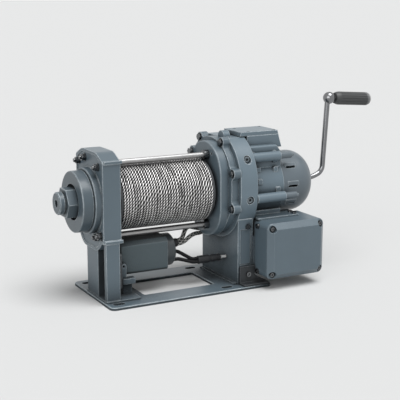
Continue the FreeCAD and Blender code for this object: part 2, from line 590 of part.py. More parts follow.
# Right flange, an upright obround with an ear at the back
EAR_BOLT = ("ear_side + ear_bolt_shift", "ear_rise + ear_bolt_shift")
flange = new_body("right_flange")
face = sketch_on(flange, "YZ_Plane", "flange_left")
obround(face, ("0", "flange_reach"), ("0", "-flange_reach"), "flange_half")
pad(flange, face, "flange_thick")
ear = sketch_on(flange, "YZ_Plane", "flange_left")
circle(ear, ("ear_side", "ear_rise"), "ear_radius")
pad(flange, ear, "flange_thick")
soften(flange, "casting_round", "Fillet", in_plane("X", "flange_left", 60))
bore = sketch_on(flange, "YZ_Plane", "bearing_right")
circle(bore, ("0", "0"), "bearing_radius")
pocket(flange, bore, "bearing_width", forward=True)
flange_holes = sketch_on(flange, "YZ_Plane", "flange_left")
circle(flange_holes, ("0", "0"), "bearing_split + bearing_lip")
circle(flange_holes, EAR_BOLT, "lug_hole")
circle(flange_holes, ("oil_hole_side", "oil_hole_rise"), "oil_hole")
pocket(flange, flange_holes, "flange_thick", forward=True)
rod_holes = sketch_on(flange, "YZ_Plane", "flange_left")
for place in ROD_PLACES:
    circle(rod_holes, place, "rod_radius")
pocket(flange, rod_holes, "rod_right - flange_left", forward=True)

# Front shell of the gear case, with lugs for its bolts
LUG_ANGLES = [("case_upper", 16), ("case_upper", 62), ("case_upper", 118), ("case_upper", 164),
              ("case_lower", -16), ("case_lower", -164)]
LUGS = [(f"case_shift - lug_circle * cos({turn_by})", f"{centre} + lug_circle * sin({turn_by})")
        for centre, turn_by in LUG_ANGLES]
CASE_CENTRES = [("case_shift", "case_upper"), ("case_shift", "case_lower")]
shell = new_body("gear_case_cover")
face = sketch_on(shell, "YZ_Plane", "shell_left")
obround(face, *CASE_CENTRES, "shell_radius")
pad(shell, face, "case_left - shell_left")
lug_faces = sketch_on(shell, "YZ_Plane", "shell_left")
for place in LUGS:
    circle(lug_faces, place, "lug_radius")
pad(shell, lug_faces, "case_left - shell_left")


def across_shell(edge):
    """Chooses the edges along X where a lug meets the shell's side."""
    box = edge.BoundBox
    return abs(box.XLength - size("case_left - shell_left")) < 0.01 and box.YLength + box.ZLength < 0.01


soften(shell, "lug_fillet", "Fillet", across_shell)
spots = sketch_on(shell, "YZ_Plane", "shell_left")
for place in LUGS:
    circle(spots, place, "lug_spot")
pocket(shell, spots, "lug_sink", forward=True)
bore = sketch_on(shell, "YZ_Plane", "seal_right")
circle(bore, ("0", "0"), "seal_radius")
pocket(shell, bore, "case_left - seal_right", forward=True)
relief = sketch_on(shell, "YZ_Plane", "shell_left")
circle(relief, ("0", "0"), "bearing_split + bearing_lip")
pocket(shell, relief, "seal_right - shell_left - overshoot", forward=True)
shell_holes = sketch_on(shell, "YZ_Plane", "shell_left")
circle(shell_holes, ("0", "0"), "journal_radius + seal_lip")
for place in [*LUGS, EAR_BOLT]:
    circle(shell_holes, place, "lug_hole")
pocket(shell, shell_holes, "case_left - shell_left", forward=True)
bush_hole = sketch_on(shell, "YZ_Plane", "bush_left")
circle(bush_hole, ("layshaft_side", "0"), "bush_radius")
pocket(shell, bush_hole, "case_left - bush_left", forward=True)

# Gear case: an obround casting, flat on top, with a room for the gears and wells for two lock screws
MOTOR_TIES = [
    ("-tie_front", "tie_upper"), ("-tie_side", "tie_lower"),
    ("tie_front", "tie_upper"), ("tie_back", "tie_back_lower"),
]
case = new_body("gear_case")
face = sketch_on(case, "YZ_Plane", "case_left")
obround(face, *CASE_CENTRES, "case_radius")
pad(case, face, "case_right - case_left")
soften(case, "casting_round", "Fillet", in_plane("X", "case_right", 60))
level = sketch_on(case, "XY_Plane", "case_flat")
rectangle(level, "case_left - overshoot", "case_right + overshoot", "-case_radius", "case_radius")
pocket(case, level, "case_radius", forward=True)
boss = sketch_on(case, "YZ_Plane", "case_left")
circle(boss, ("case_shift - boss_shift", "case_upper + case_radius - boss_sink"), "boss_radius")
pad(case, boss, "boss_length")
room = sketch_on(case, "YZ_Plane", "case_left")
obround(room, ("0", "0"), ("layshaft_side", "0"), "room_radius")
pocket(case, room, "room_right - case_left", forward=True)
wall_holes = sketch_on(case, "YZ_Plane", "room_right")
circle(wall_holes, ("0", "0"), "motor_bearing_split - motor_bearing_lip")
circle(wall_holes, ("layshaft_side", "0"), "bush_radius")
pocket(case, wall_holes, "case_right - room_right", forward=True)
stud_holes = sketch_on(case, "YZ_Plane", "case_right")
for place in MOTOR_TIES:
    circle(stud_holes, place, "tie_radius")
pocket(case, stud_holes, "case_right - tie_root")
LOCK_SCREWS = [("tie_upper", "lock_floor"), ("tie_lower", "tie_side")]
for rise, floor in LOCK_SCREWS:
    well = sketch_on(case, "XZ_Plane", floor)
    circle(well, ("lock_place", rise), "lock_well")
    pocket(case, well, "case_radius", forward=True)
    thread = sketch_on(case, "XZ_Plane", floor)
    circle(thread, ("lock_place", rise), "lock_hole")
    pocket(case, thread, "lock_thread")
bolt_holes = sketch_on(case, "YZ_Plane", "case_left")
for place in LUGS:
    circle(bolt_holes, place, "lug_hole")
pocket(case, bolt_holes, "lug_thread", forward=True)
plug_hole = sketch_on(case, "XY_Plane", "case_flat")
circle(plug_hole, ("plug_place", "case_shift"), "bolt_radius")
pocket(case, plug_hole, "plug_thread")
lug_seats = [(over_axis("shell_left + lug_sink", y, z), AXIS_X) for y, z in LUGS]
ear_seat = (over_axis("flange_left", *EAR_BOLT), AXIS_X)
group("case_bolts", hex_bolt("bolt_flats", "bolt_head", "bolt_radius", "case_grip"), [*lug_seats, ear_seat])
breather = hex_bolt("plug_flats", "plug_head", "bolt_radius", "plug_length")
group("oil_plug", breather, [(over_axis("plug_place", "case_shift", "case_flat"), -AXIS_Z)])


def involute(angle):
    return math.tan(angle) - angle


def gear_solid(teeth, shift, left, right):
    """A spur gear about the X axis, its first tooth towards +Y; each flank is an arc through the involute."""
    module = size("gear_module")
    pressure = math.radians(size("pressure_angle"))
    pitch = teeth * module / 2
    base_radius = pitch * math.cos(pressure)
    tip = pitch + module * (1 + shift)
    root = pitch - module * (1.25 - shift)
    start = max(root, base_radius)
    thick = module * (math.pi / 2 + 2 * shift * math.tan(pressure)) - size("backlash")

    def spot(radius, angle):
        return Vector(size(left), radius * math.cos(angle), radius * math.sin(angle))

    def half_angle(radius):
        return thick / (2 * pitch) + involute(pressure) - involute(math.acos(min(1, base_radius / radius)))

    edges = []
    step = 2 * math.pi / teeth
    for tooth in range(teeth):
        middle = tooth * step
        low, high = [], []
        for radius in (start, (start + tip) / 2, tip):
            low.append(spot(radius, middle - half_angle(radius)))
            high.append(spot(radius, middle + half_angle(radius)))
        foot_low = spot(root, middle - half_angle(start))
        foot_high = spot(root, middle + half_angle(start))
        next_foot = spot(root, middle + step - half_angle(start))
        if start > root:
            edges.append(Part.LineSegment(foot_low, low[0]).toShape())
        edges.append(Part.Arc(*low).toShape())
        edges.append(Part.Arc(low[2], spot(tip, middle), high[2]).toShape())
        edges.append(Part.Arc(*reversed(high)).toShape())
        if start > root:
            edges.append(Part.LineSegment(high[0], foot_high).toShape())
        edges.append(Part.Arc(foot_high, spot(root, middle + step / 2), next_foot).toShape())
    face = Part.Face(Part.Wire(edges))
    return face.extrude(Vector(size(right) - size(left), 0, 0))


# Gear train: output gear on the drum shaft, layshaft with its own pinion and gear
GEAR_TEETH = int(size("gear_teeth"))
PINION_TEETH = int(size("pinion_teeth"))
TOOTH_SHIFT = size("tooth_shift")
HALF_TOOTH = Rotation(AXIS_X, 180 / PINION_TEETH)
output_teeth = gear_solid(GEAR_TEETH, -TOOTH_SHIFT, "output_left", "output_right")
output_bore = rod("gear_seat_radius", "output_left - overshoot", "output_right + overshoot")
made("output_gear", output_teeth.cut(output_bore), Placement(over_axis("0", "0", "0"), Rotation()))
layshaft_turned = rod("layshaft_radius", "bush_left + end_float", "case_right - end_float")
layshaft_seat = rod("layshaft_seat", "case_left + end_float", "room_right - end_float")
layshaft_pinion = gear_solid(
    PINION_TEETH, TOOTH_SHIFT, "output_left - pinion_lap", "output_right + pinion_lap")
layshaft_pinion.Placement = Placement(Vector(), HALF_TOOTH)
layshaft_shape = layshaft_pinion.fuse([layshaft_turned, layshaft_seat]).removeSplitter()
layshaft_place = Placement(over_axis("0", "layshaft_side", "0"), Rotation())
made("layshaft", layshaft_shape, layshaft_place)
input_teeth = gear_solid(GEAR_TEETH, -TOOTH_SHIFT, "input_left", "input_right")
input_bore = rod("layshaft_seat", "input_left - overshoot", "input_right + overshoot")
made("layshaft_gear", input_teeth.cut(input_bore), layshaft_place)
bushes = new_body("layshaft_bushes")
bushes.setExpression("Placement.Base.y", bound("layshaft_side"))
turn(bushes, *[
    ring(left, right, "layshaft_radius + running_gap", "bush_radius")
    for left, right in (("bush_left", "case_left - end_float"), ("room_right", "case_right"))])

# Motor shaft with the first pinion cut on its end and a socket for the crank at the other
spindle = new_body("motor_shaft_turned", node=False)
turn(spindle, [
    ("input_left", "0"), ("input_left", "pinion_shaft"), ("front_bearing", "pinion_shaft"),
    ("front_bearing", "motor_journal"), ("motor_wall + end_float", "motor_journal"),
    ("motor_wall + end_float", "rotor_bore"), ("rear_bearing", "rotor_bore"),
    ("rear_bearing", "motor_journal"), ("journal_end", "motor_journal"), ("journal_end", "fan_bore"),
    ("socket_left", "fan_bore"), ("socket_left", "socket_radius"), ("socket_right", "socket_radius"),
    ("socket_right", "crank_radius"), ("crank_root", "crank_radius"), ("crank_root", "0"),
])
motor_pinion = doc.addObject("Part::Feature", "motor_pinion")
motor_pinion.Shape = gear_solid(PINION_TEETH, TOOTH_SHIFT, "input_left", "input_right + pinion_lap")
motor_pinion.Placement = Placement(over_axis("0", "0", "0"), HALF_TOOTH)
combined("motor_shaft", "Fuse", spindle, motor_pinion)
turn(new_body("rotor_core"), ring("stator_left", "stator_right", "rotor_bore", "rotor_radius"))
turn(new_body("stator_core"), ring("stator_left", "stator_right", "rotor_radius + air_gap", "stator_radius"))
turn(new_body("stator_windings"), *[
    ring(left, right, "rotor_radius + winding_inset", "stator_radius - winding_inset / 2")
    for left, right in (
        ("stator_left - winding_reach", "stator_left"), ("stator_right", "stator_right + winding_reach"))])
MOTOR_BEARINGS = [(left, f"{left} + motor_bearing_width") for left in ("front_bearing", "rear_bearing")]
turn(new_body("motor_bearing_outer_rings"), *[
    ring(left, right, "motor_bearing_split + running_gap", "motor_bearing_radius")
    for left, right in MOTOR_BEARINGS])
turn(new_body("motor_bearing_inner_rings"), *[
    ring(left, right, "motor_journal", "motor_bearing_split") for left, right in MOTOR_BEARINGS])

# Motor body: a round casting with a saddle for the terminal box and four tie-bolt tubes on short webs
PADS = [("175", "36", "62"), ("175", "11", "71.5"), ("219", "35", "62"), ("220", "-9", "73")]
motor = new_body("motor_body")
face = sketch_on(motor, "YZ_Plane", "case_right")
circle(face, ("0", "0"), "motor_radius")
pad(motor, face, "motor_right - case_right")
saddle = sketch_on(motor, "XZ_Plane")
outline(saddle, [
    ("saddle_left", "saddle_low"), ("motor_right", "saddle_low"),
    ("motor_right", "saddle_top - saddle_drop"), ("motor_right - saddle_run", "saddle_top"),
    ("saddle_left", "saddle_top"),
])
pad(motor, saddle, "2 * saddle_half", both_ways=True)
soften(motor, "saddle_round", "Fillet", in_plane("Z", "saddle_top", 60))
tubes = sketch_on(motor, "YZ_Plane", "case_right")
for place in MOTOR_TIES:
    circle(tubes, place, "tube_radius")
pad(motor, tubes, "tube_right - case_right")
WEB_REACH = (0.68, 0.98)
for web_left in ("case_right", "tube_right - web_width"):
    webs = sketch_on(motor, "YZ_Plane", web_left)
    for across, up in MOTOR_TIES:
        near, far = WEB_REACH
        side = size("web_half") / math.hypot(size(across), size(up))
        outline(webs, [
            (f"{across} * {share} + {way} * ({up})", f"{up} * {share} - {way} * ({across})")
            for share, way in ((near, side), (far, side), (far, -side), (near, -side))])
    pad(motor, webs, "web_width")
for left, low, reach in PADS:
    pad_face = sketch_on(motor, "XZ_Plane", f"{reach} - pad_depth")
    rectangle(pad_face, left, f"{left} + pad_side", low, f"{low} + pad_side", "edge_round")
    pad(motor, pad_face, "pad_depth")
ribs = sketch_on(motor, "XZ_Plane", "saddle_half")
for left in ("saddle_left + edge_round", "tube_right - web_width"):
    rectangle(ribs, left, f"{left} + rib_width", "rib_low", "rib_high", "rib_round")
pad(motor, ribs, "rib_proud")
bore = sketch_on(motor, "YZ_Plane", "motor_wall")
circle(bore, ("0", "0"), "stator_radius")
pocket(motor, bore, "motor_right - motor_wall", forward=True)
bore = sketch_on(motor, "YZ_Plane", "front_bearing")
circle(bore, ("0", "0"), "motor_bearing_radius")
pocket(motor, bore, "motor_bearing_width", forward=True)
motor_holes = sketch_on(motor, "YZ_Plane", "case_right")
circle(motor_holes, ("0", "0"), "motor_bearing_split - motor_bearing_lip")
for place in MOTOR_TIES:
    circle(motor_holes, place, "tie_radius + close_gap")
pocket(motor, motor_holes, "tube_right - case_right", forward=True)
tie = rod("tie_radius", "tie_root", "tie_end")
tie = tie.fuse(rod("sleeve_radius", "tube_right", "tube_right + sleeve_length")).removeSplitter()
tie_set = [tie.translated(over_axis("0", y, z)) for y, z in MOTOR_TIES]
lock_screw = socket_screw("lock_head", "lock_head_high", "lock_hole", "lock_length")
for rise, floor in LOCK_SCREWS:
    lock_screw.Placement = Placement(over_axis("lock_place", f"-({floor})", rise), Rotation(AXIS_X, AXIS_Y))
    tie_set.append(lock_screw.copy())
made("motor_bolts", Part.makeCompound(tie_set))
turn(new_body("motor_end_shield"), [
    ("rear_bearing", "motor_bearing_radius"), ("rear_bearing", "stator_radius - close_gap"),
    ("motor_right", "stator_radius - close_gap"), ("motor_right", "cap_radius - cap_wall - spigot_gap"),
    ("motor_right + shield_rim", "cap_radius - cap_wall - spigot_gap"),
    ("motor_right + shield_rim", "shield_bore"), ("rear_bearing + motor_bearing_width", "shield_bore"),
    ("rear_bearing + motor_bearing_width", "motor_bearing_radius"),
])

# Fan on the motor shaft under a domed cap with air slots
fan = new_body("cooling_fan")
turn(fan, ring("fan_left", "fan_right", "fan_bore", "fan_hub"))
blade = sketch_on(fan, "XY_Plane", "fan_hub - blade_root")
outline(blade, [
    ("fan_left + blade_inset", "-blade_half"), ("fan_left + blade_inset + blade_thick", "-blade_half"),
    ("fan_right - blade_inset", "blade_half"), ("fan_right - blade_inset - blade_thick", "blade_half"),
])
spread(fan, pad(fan, blade, "fan_tip - fan_hub + blade_root"), "fan_blades")
cap = new_body("motor_cap")
turn(cap, [
    ("motor_right", "cap_radius"), ("cap_shoulder + cap_round", "cap_radius", "cap_round"),
    ("cap_shoulder + cap_round", "cap_hole"), ("cap_shoulder + cap_round - cap_wall", "cap_hole"),
    ("cap_shoulder + cap_round - cap_wall", "cap_radius - cap_wall", "cap_round - cap_wall"),
    ("motor_right", "cap_radius - cap_wall"),
])
louvre = sketch_on(cap, "XZ_Plane", "cap_radius - louvre_root")
rectangle(louvre, "motor_right + louvre_inset", "cap_shoulder - louvre_inset",
          "0", "louvre_slot / 2 + louvre_hood", "edge_round")
spread(cap, pad(cap, louvre, "louvre_root + louvre_proud"), "louvre_count")
air_slot = sketch_on(cap, "XZ_Plane")
rectangle(air_slot, "motor_right + slot_inset", "cap_shoulder - slot_inset",
          "-louvre_slot / 2", "louvre_slot / 2")
spread(cap, pocket(cap, air_slot, "cap_radius + louvre_hood", forward=True), "louvre_count")

# Terminal box with a sloping end, open at the top under its lid
terminal = new_body("terminal_box")
side = sketch_on(terminal, "XZ_Plane")
outline(side, [
    ("terminal_left", "saddle_top"), ("terminal_right - terminal_run", "saddle_top"),
    ("terminal_right", "saddle_top - terminal_drop"),
    ("terminal_right + terminal_flare", "saddle_top - terminal_drop"),
    ("terminal_right + terminal_lean", "terminal_seam"), ("terminal_left", "terminal_seam"),
])
pad(terminal, side, "2 * terminal_half", both_ways=True)
well = sketch_on(terminal, "XY_Plane", "terminal_seam")
rectangle(well, "terminal_left + terminal_side", "terminal_right - terminal_side",
          "-terminal_half + terminal_side", "terminal_half - terminal_side", "terminal_corner")
pocket(terminal, well, "terminal_seam - saddle_top - terminal_floor")
TERMINAL_SCREWS = [
    (x, y) for x in ("terminal_left + terminal_screw_inset", "terminal_right - terminal_screw_inset")
    for y in ("-terminal_half + terminal_screw_inset", "terminal_half - terminal_screw_inset")]
screw_holes = sketch_on(terminal, "XY_Plane", "terminal_seam")
for place in TERMINAL_SCREWS:
    circle(screw_holes, place, "screw_radius + close_gap")
pocket(terminal, screw_holes, "screw_thread")
hood = new_body("terminal_box_lid")
side = sketch_on(hood, "XZ_Plane")
outline(side, [
    ("hood_left", "terminal_seam"), ("terminal_right + terminal_lean", "terminal_seam"),
    ("terminal_right", "terminal_top"), ("hood_left + hood_lean", "terminal_top"),
])
pad(hood, side, "2 * terminal_half", both_ways=True)
screw_holes = sketch_on(hood, "XY_Plane", "terminal_seam + hood_grip")
for place in TERMINAL_SCREWS:
    circle(screw_holes, place, "screw_head + close_gap")
pocket(hood, screw_holes, "terminal_top - terminal_seam", forward=True)
screw_holes = sketch_on(hood, "XY_Plane", "terminal_seam")
for place in TERMINAL_SCREWS:
    circle(screw_holes, place, "screw_radius + close_gap")
pocket(hood, screw_holes, "hood_grip + overshoot", forward=True)

# Control box with a lid whose edges slope in to a flat face, and screws sunk in the corners
box = new_body("control_box", coaxial=False)
wall = sketch_on(box, "XZ_Plane", "box_back")
rectangle(wall, "box_left", "box_right", "box_bottom", "box_top", "box_corner")
pad(box, wall, "box_seam - box_back")
hollow = sketch_on(box, "XZ_Plane", "box_seam")
rectangle(hollow, "box_left + box_wall", "box_right - box_wall",
          "box_bottom + box_wall", "box_top - box_wall", "box_corner - box_wall")
pocket(box, hollow, "box_seam - box_back - box_wall")
LID_SCREWS = [(x, z) for x in ("box_left + lid_screw_inset", "box_right - lid_screw_inset")
              for z in ("box_bottom + lid_screw_inset", "box_top - lid_screw_inset")]
pillars = sketch_on(box, "XZ_Plane", "box_back + box_wall")
for place in LID_SCREWS:
    circle(pillars, place, "pillar_radius")
pad(box, pillars, "box_seam - box_back - box_wall")
screw_holes = sketch_on(box, "XZ_Plane", "box_seam")
for place in LID_SCREWS:
    circle(screw_holes, place, "screw_radius + close_gap")
pocket(box, screw_holes, "screw_thread")
SIDE_SCREWS = [("side_screw", "box_bottom + lid_screw_inset"), ("side_screw", "box_top - lid_screw_inset")]
SHELF_SCREWS = [("shelf_screw", "-shelf_screw_front"), ("shelf_screw", "-shelf_screw_back")]
top_holes = sketch_on(box, "XY_Plane", "box_top")
for place in SHELF_SCREWS:
    circle(top_holes, place, "pedestal_screw")
pocket(box, top_holes, "box_wall + overshoot")
side_holes = sketch_on(box, "YZ_Plane", "box_left")
for place in SIDE_SCREWS:
    circle(side_holes, place, "pedestal_screw")
pocket(box, side_holes, "pedestal_thread", forward=True)
lid = new_body("control_box_lid", coaxial=False)
rim = sketch_on(lid, "XZ_Plane", "box_seam")
rectangle(rim, "box_left", "box_right", "box_bottom", "box_top", "box_corner")
pad(lid, rim, "lid_rim")
outer = sketch_on(lid, "XZ_Plane", "box_seam + lid_rim")
rectangle(outer, "box_left", "box_right", "box_bottom", "box_top", "box_corner")
inner = sketch_on(lid, "XZ_Plane", "box_front")
rectangle(inner, "box_left + lid_slope", "box_right - lid_slope",
          "box_bottom + lid_slope", "box_top - lid_slope", "box_corner / 2")
slope = lid.newObject("PartDesign::AdditiveLoft", "slope")
slope.Profile = outer
slope.Sections = [inner]
slope.Ruled = True
wells = sketch_on(lid, "XZ_Plane", "box_front")
for place in LID_SCREWS:
    circle(wells, place, "lid_well")
pocket(lid, wells, "box_front - box_seam - lid_rim - lid_floor")
screw_holes = sketch_on(lid, "XZ_Plane", "box_front")
for place in LID_SCREWS:
    circle(screw_holes, place, "screw_radius + close_gap")
pocket(lid, screw_holes, "box_front - box_seam")
lid_seat = -size("box_seam + lid_rim + lid_floor")
lid_seats = [(Vector(size(x), lid_seat, size(z)), AXIS_Y) for x, z in LID_SCREWS]
hood_seats = [(over_axis(x, y, "terminal_seam + hood_grip"), -AXIS_Z) for x, y in TERMINAL_SCREWS]
lid_screw = socket_screw("screw_head", "screw_head_high", "screw_radius", "screw_length")
group("box_lid_screws", lid_screw, [*lid_seats, *hood_seats])
relay = new_body("relay_unit", coaxial=False)
rail = sketch_on(relay, "XZ_Plane", "box_back + box_wall")
rectangle(rail, "box_left + rail_inset", "box_right - rail_inset", "rail_low", "rail_high")
pad(relay, rail, "rail_thick")
blocks = sketch_on(relay, "XZ_Plane", "box_back + box_wall + rail_thick")
for block_left in ("relay_first", "relay_second"):
    rectangle(blocks, block_left, f"{block_left} + relay_width", "relay_low", "relay_high", "edge_round")
pad(relay, blocks, "relay_deep")

# Right pedestal: a hollow column with a cradle under the gear case and a toe strip on the base
column = new_body("right_pedestal", coaxial=False)
face = sketch_on(column, "YZ_Plane", "pedestal_left")
rectangle(face, "-pedestal_front", "pedestal_back", "base_thick", "pedestal_top")
pad(column, face, "pedestal_right - pedestal_left")
toe = sketch_on(column, "XY_Plane", "base_thick")
rectangle(toe, "toe_left", "pedestal_left + toe_lap", "-toe_half", "toe_half")
pad(column, toe, "toe_thick")
cradle = sketch_on(column, "YZ_Plane", "pedestal_left")
circle(cradle, ("case_shift", "axis_height + case_lower"), "case_radius")
pocket(column, cradle, "pedestal_right - pedestal_left", forward=True)
cavity = sketch_on(column, "XY_Plane", "base_thick")
rectangle(cavity, "pedestal_left + pedestal_wall", "pedestal_right - pedestal_wall",
          "-pedestal_front + pedestal_wall", "pedestal_back - pedestal_wall")
pocket(column, cavity, "cavity_top - base_thick", forward=True)
recess = sketch_on(column, "XZ_Plane", "pedestal_front")
rectangle(recess, "panel_left", "panel_right", "panel_bottom", "panel_top")
pocket(column, recess, "panel_depth")
BRAID_ENDS = [("68", "101"), ("54", "98")]
entries = sketch_on(column, "YZ_Plane", "pedestal_left")
circle(entries, ("plug_side", "plug_height"), "pin_hole")
for place in BRAID_ENDS:
    circle(entries, place, "braid_radius + braid_gap")
pocket(column, entries, "pedestal_wall", forward=True)
PEDESTAL_BOLTS = [
    ("pedestal_bolt", "pedestal_bolt_high", "pedestal_front"),
    ("pedestal_bolt", "pedestal_bolt_low", "pedestal_front + angle_thick"),
]
bolt_holes = sketch_on(column, "XZ_Plane", "pedestal_front")
for x, z, seat_y in PEDESTAL_BOLTS:
    circle(bolt_holes, (x, z), "pedestal_screw + close_gap")
pocket(column, bolt_holes, "pedestal_thread")
panel = new_body("pedestal_panel", coaxial=False)
face = sketch_on(panel, "XZ_Plane", "pedestal_front - panel_depth")
rectangle(face, "panel_left + panel_gap", "panel_right - panel_gap",
          "panel_bottom + panel_gap", "panel_top - panel_gap", "edge_round")
pad(panel, face, "panel_depth - panel_sink")
angle = new_body("foot_bracket", coaxial=False)
flat = sketch_on(angle, "XY_Plane", "base_thick")
rectangle(flat, "angle_left", "angle_right", "-base_width / 2 + angle_thick", "-pedestal_front",
          "angle_corner")
pad(angle, flat, "angle_thick")
upright = sketch_on(angle, "XZ_Plane", "pedestal_front")
outline(upright, [
    ("angle_left", "base_thick + overshoot"), ("angle_tip", "base_thick + overshoot"),
    ("angle_tip", "angle_tip_high"), ("box_left + angle_cut", "box_bottom - angle_gap"),
    ("box_left - angle_gap", "box_bottom + angle_cut"), ("box_left - angle_gap", "angle_top"),
    ("angle_left", "angle_top"),
])
pad(angle, upright, "angle_thick")
bolt_holes = sketch_on(angle, "XZ_Plane", "pedestal_front + angle_thick")
circle(bolt_holes, ("pedestal_bolt", "pedestal_bolt_low"), "pedestal_screw + close_gap")
pocket(angle, bolt_holes, "angle_thick")
front_seats = [(Vector(size(x), -size(seat_y), size(z)), AXIS_Y) for x, z, seat_y in PEDESTAL_BOLTS]
side_seats = [(Vector(size("box_left"), size(y), size(z)), AXIS_X) for y, z in SIDE_SCREWS]
shelf_seats = [(Vector(size(x), size(y), size("box_top + shelf_thick")), -AXIS_Z) for x, y in SHELF_SCREWS]
pedestal_screw = socket_screw(
    "pedestal_head", "pedestal_head_high", "pedestal_screw", "pedestal_screw_length")
group("pedestal_bolts", pedestal_screw, [*front_seats, *side_seats, *shelf_seats])
hanger = new_body("box_bracket", coaxial=False)
face = sketch_on(hanger, "YZ_Plane", "pedestal_right")
rectangle(face, "-pedestal_front + hanger_gap", "-box_back - hanger_gap",
          "hanger_low", "hanger_high", "hanger_corner")
pad(hanger, face, "box_left - pedestal_right")
shelf = sketch_on(hanger, "XY_Plane", "box_top")
rectangle(shelf, "shelf_left", "shelf_right", "-shelf_front", "-box_back", "shelf_corner")
pad(hanger, shelf, "shelf_thick")
wedge = sketch_on(hanger, "XY_Plane", "box_top")
rectangle(wedge, "shelf_left", "wedge_right", "-wedge_front", "-wedge_back", "edge_round")
pad(hanger, wedge, "wedge_top - box_top")
shelf_holes = sketch_on(hanger, "XY_Plane", "box_top")
for place in SHELF_SCREWS:
    circle(shelf_holes, place, "pedestal_screw")
pocket(hanger, shelf_holes, "shelf_thick", forward=True)

# Contactor under the drum, bolted to a plate across the leg and the post
plate = new_body("contactor_plate", coaxial=False)
face = sketch_on(plate, "YZ_Plane", "plate_left")
rectangle(face, "-leg_front + plate_inset", "post_back - plate_inset / 2", "plate_bottom", "plate_top",
          "plate_corner")
pad(plate, face, "plate_right - plate_left")
can = new_body("contactor_body", coaxial=False)
stage = sketch_on(can, "YZ_Plane", "plate_right")
rectangle(stage, "-contactor_half + stage_inset", "contactor_half - stage_inset",
          "contactor_height - contactor_half + stage_inset",
          "contactor_height + contactor_half - stage_inset", "stage_corner")
pad(can, stage, "contactor_step - plate_right")
block = sketch_on(can, "YZ_Plane", "contactor_step")
outline(block, [
    ("-contactor_half", "contactor_height - contactor_half", "contactor_corner"),
    ("contactor_half", "contactor_height - contactor_half", "contactor_corner"),
    ("contactor_half", "contactor_height + contactor_half", "contactor_corner"),
    ("-contactor_half + contactor_bevel", "contactor_height + contactor_half", "edge_round"),
    ("-contactor_half", "contactor_height + contactor_half - contactor_bevel", "edge_round"),
])
pad(can, block, "contactor_cap - contactor_step")
lid_end = new_body("contactor_cap", coaxial=False)
face = sketch_on(lid_end, "YZ_Plane", "contactor_cap")
circle(face, ("0", "contactor_height"), "contactor_half")
pad(lid_end, face, "contactor_end - contactor_cap")
soften(lid_end, "cap_bevel", "Chamfer", in_plane("X", "contactor_end"))
stand = new_body("contactor_foot", coaxial=False)
stem = sketch_on(stand, "XY_Plane", "base_thick + foot_thick")
rectangle(stem, "stand_left + stem_inset", "stand_right - stem_inset",
          "-contactor_half - stem_deep", "-contactor_half", "edge_round")
pad(stand, stem, "stand_bottom - base_thick - foot_thick")
block = sketch_on(stand, "XY_Plane", "stand_bottom")
rectangle(block, "stand_left", "stand_right", "-contactor_half - stand_deep", "-contactor_half", "edge_round")
pad(stand, block, "stand_top - stand_bottom")
ear_face = sketch_on(stand, "XZ_Plane", "contactor_half")
obround(ear_face, ("ear_post", "stand_top"), ("ear_post", "ear_post_top"), "ear_post_radius")
pad(stand, ear_face, "ear_post_deep")
ear_hole = sketch_on(stand, "XZ_Plane", "contactor_half + ear_post_deep")
circle(ear_hole, ("ear_post", "ear_post_top"), "ear_post_hole")
pocket(stand, ear_hole, "ear_post_thread")
gland = new_body("cable_gland", coaxial=False)
face = sketch_on(gland, "YZ_Plane", "contactor_end")
outline(face, six_corners("gland_radius", "gland_height"))
pad(gland, face, "gland_hex")
neck = sketch_on(gland, "YZ_Plane", "contactor_end + gland_hex")
circle(neck, ("0", "gland_height"), "gland_neck")
pad(gland, neck, "gland_end - contactor_end - gland_hex")


def tube(label, points, radius):
    """A cable along points: straight runs joined by tangent arcs as large as the runs allow."""
    points = [Vector(*point) for point in points]
    edges, here, arcs = [], points[0], []
    for before, corner, after in zip(points, points[1:], points[2:]):
        back, ahead = (before - corner), (after - corner)
        reach = 0.45 * min(back.Length, ahead.Length)
        start, end = corner + back.normalize() * reach, corner + ahead.normalize() * reach
        half_turn = (math.pi - back.getAngle(ahead)) / 2
        bend = reach / math.tan(half_turn)
        centre = corner + (back + ahead).normalize() * (bend / math.cos(half_turn))
        edges.append(Part.LineSegment(here, start).toShape())
        edges.append(Part.Arc(start, centre + (corner - centre).normalize() * bend, end).toShape())
        arcs.append(bend)
        here = end
    edges.append(Part.LineSegment(here, points[-1]).toShape())
    path = Part.Wire(edges)
    section = Part.Wire(Part.makeCircle(radius, points[0], points[1] - points[0]))
    sweep = Part.BRepOffsetAPI.MakePipeShell(path)
    sweep.add(section)
    sweep.build()
    sweep.makeSolid()
    shape = sweep.shape()
    wanted = math.pi * radius ** 2 * path.Length
    print(f"{label}: {path.Length:.1f} long, bends {min(arcs):.1f} to {max(arcs):.1f},",
          f"volume {shape.Volume / wanted:.3f} of section times length")
    made(label, shape)


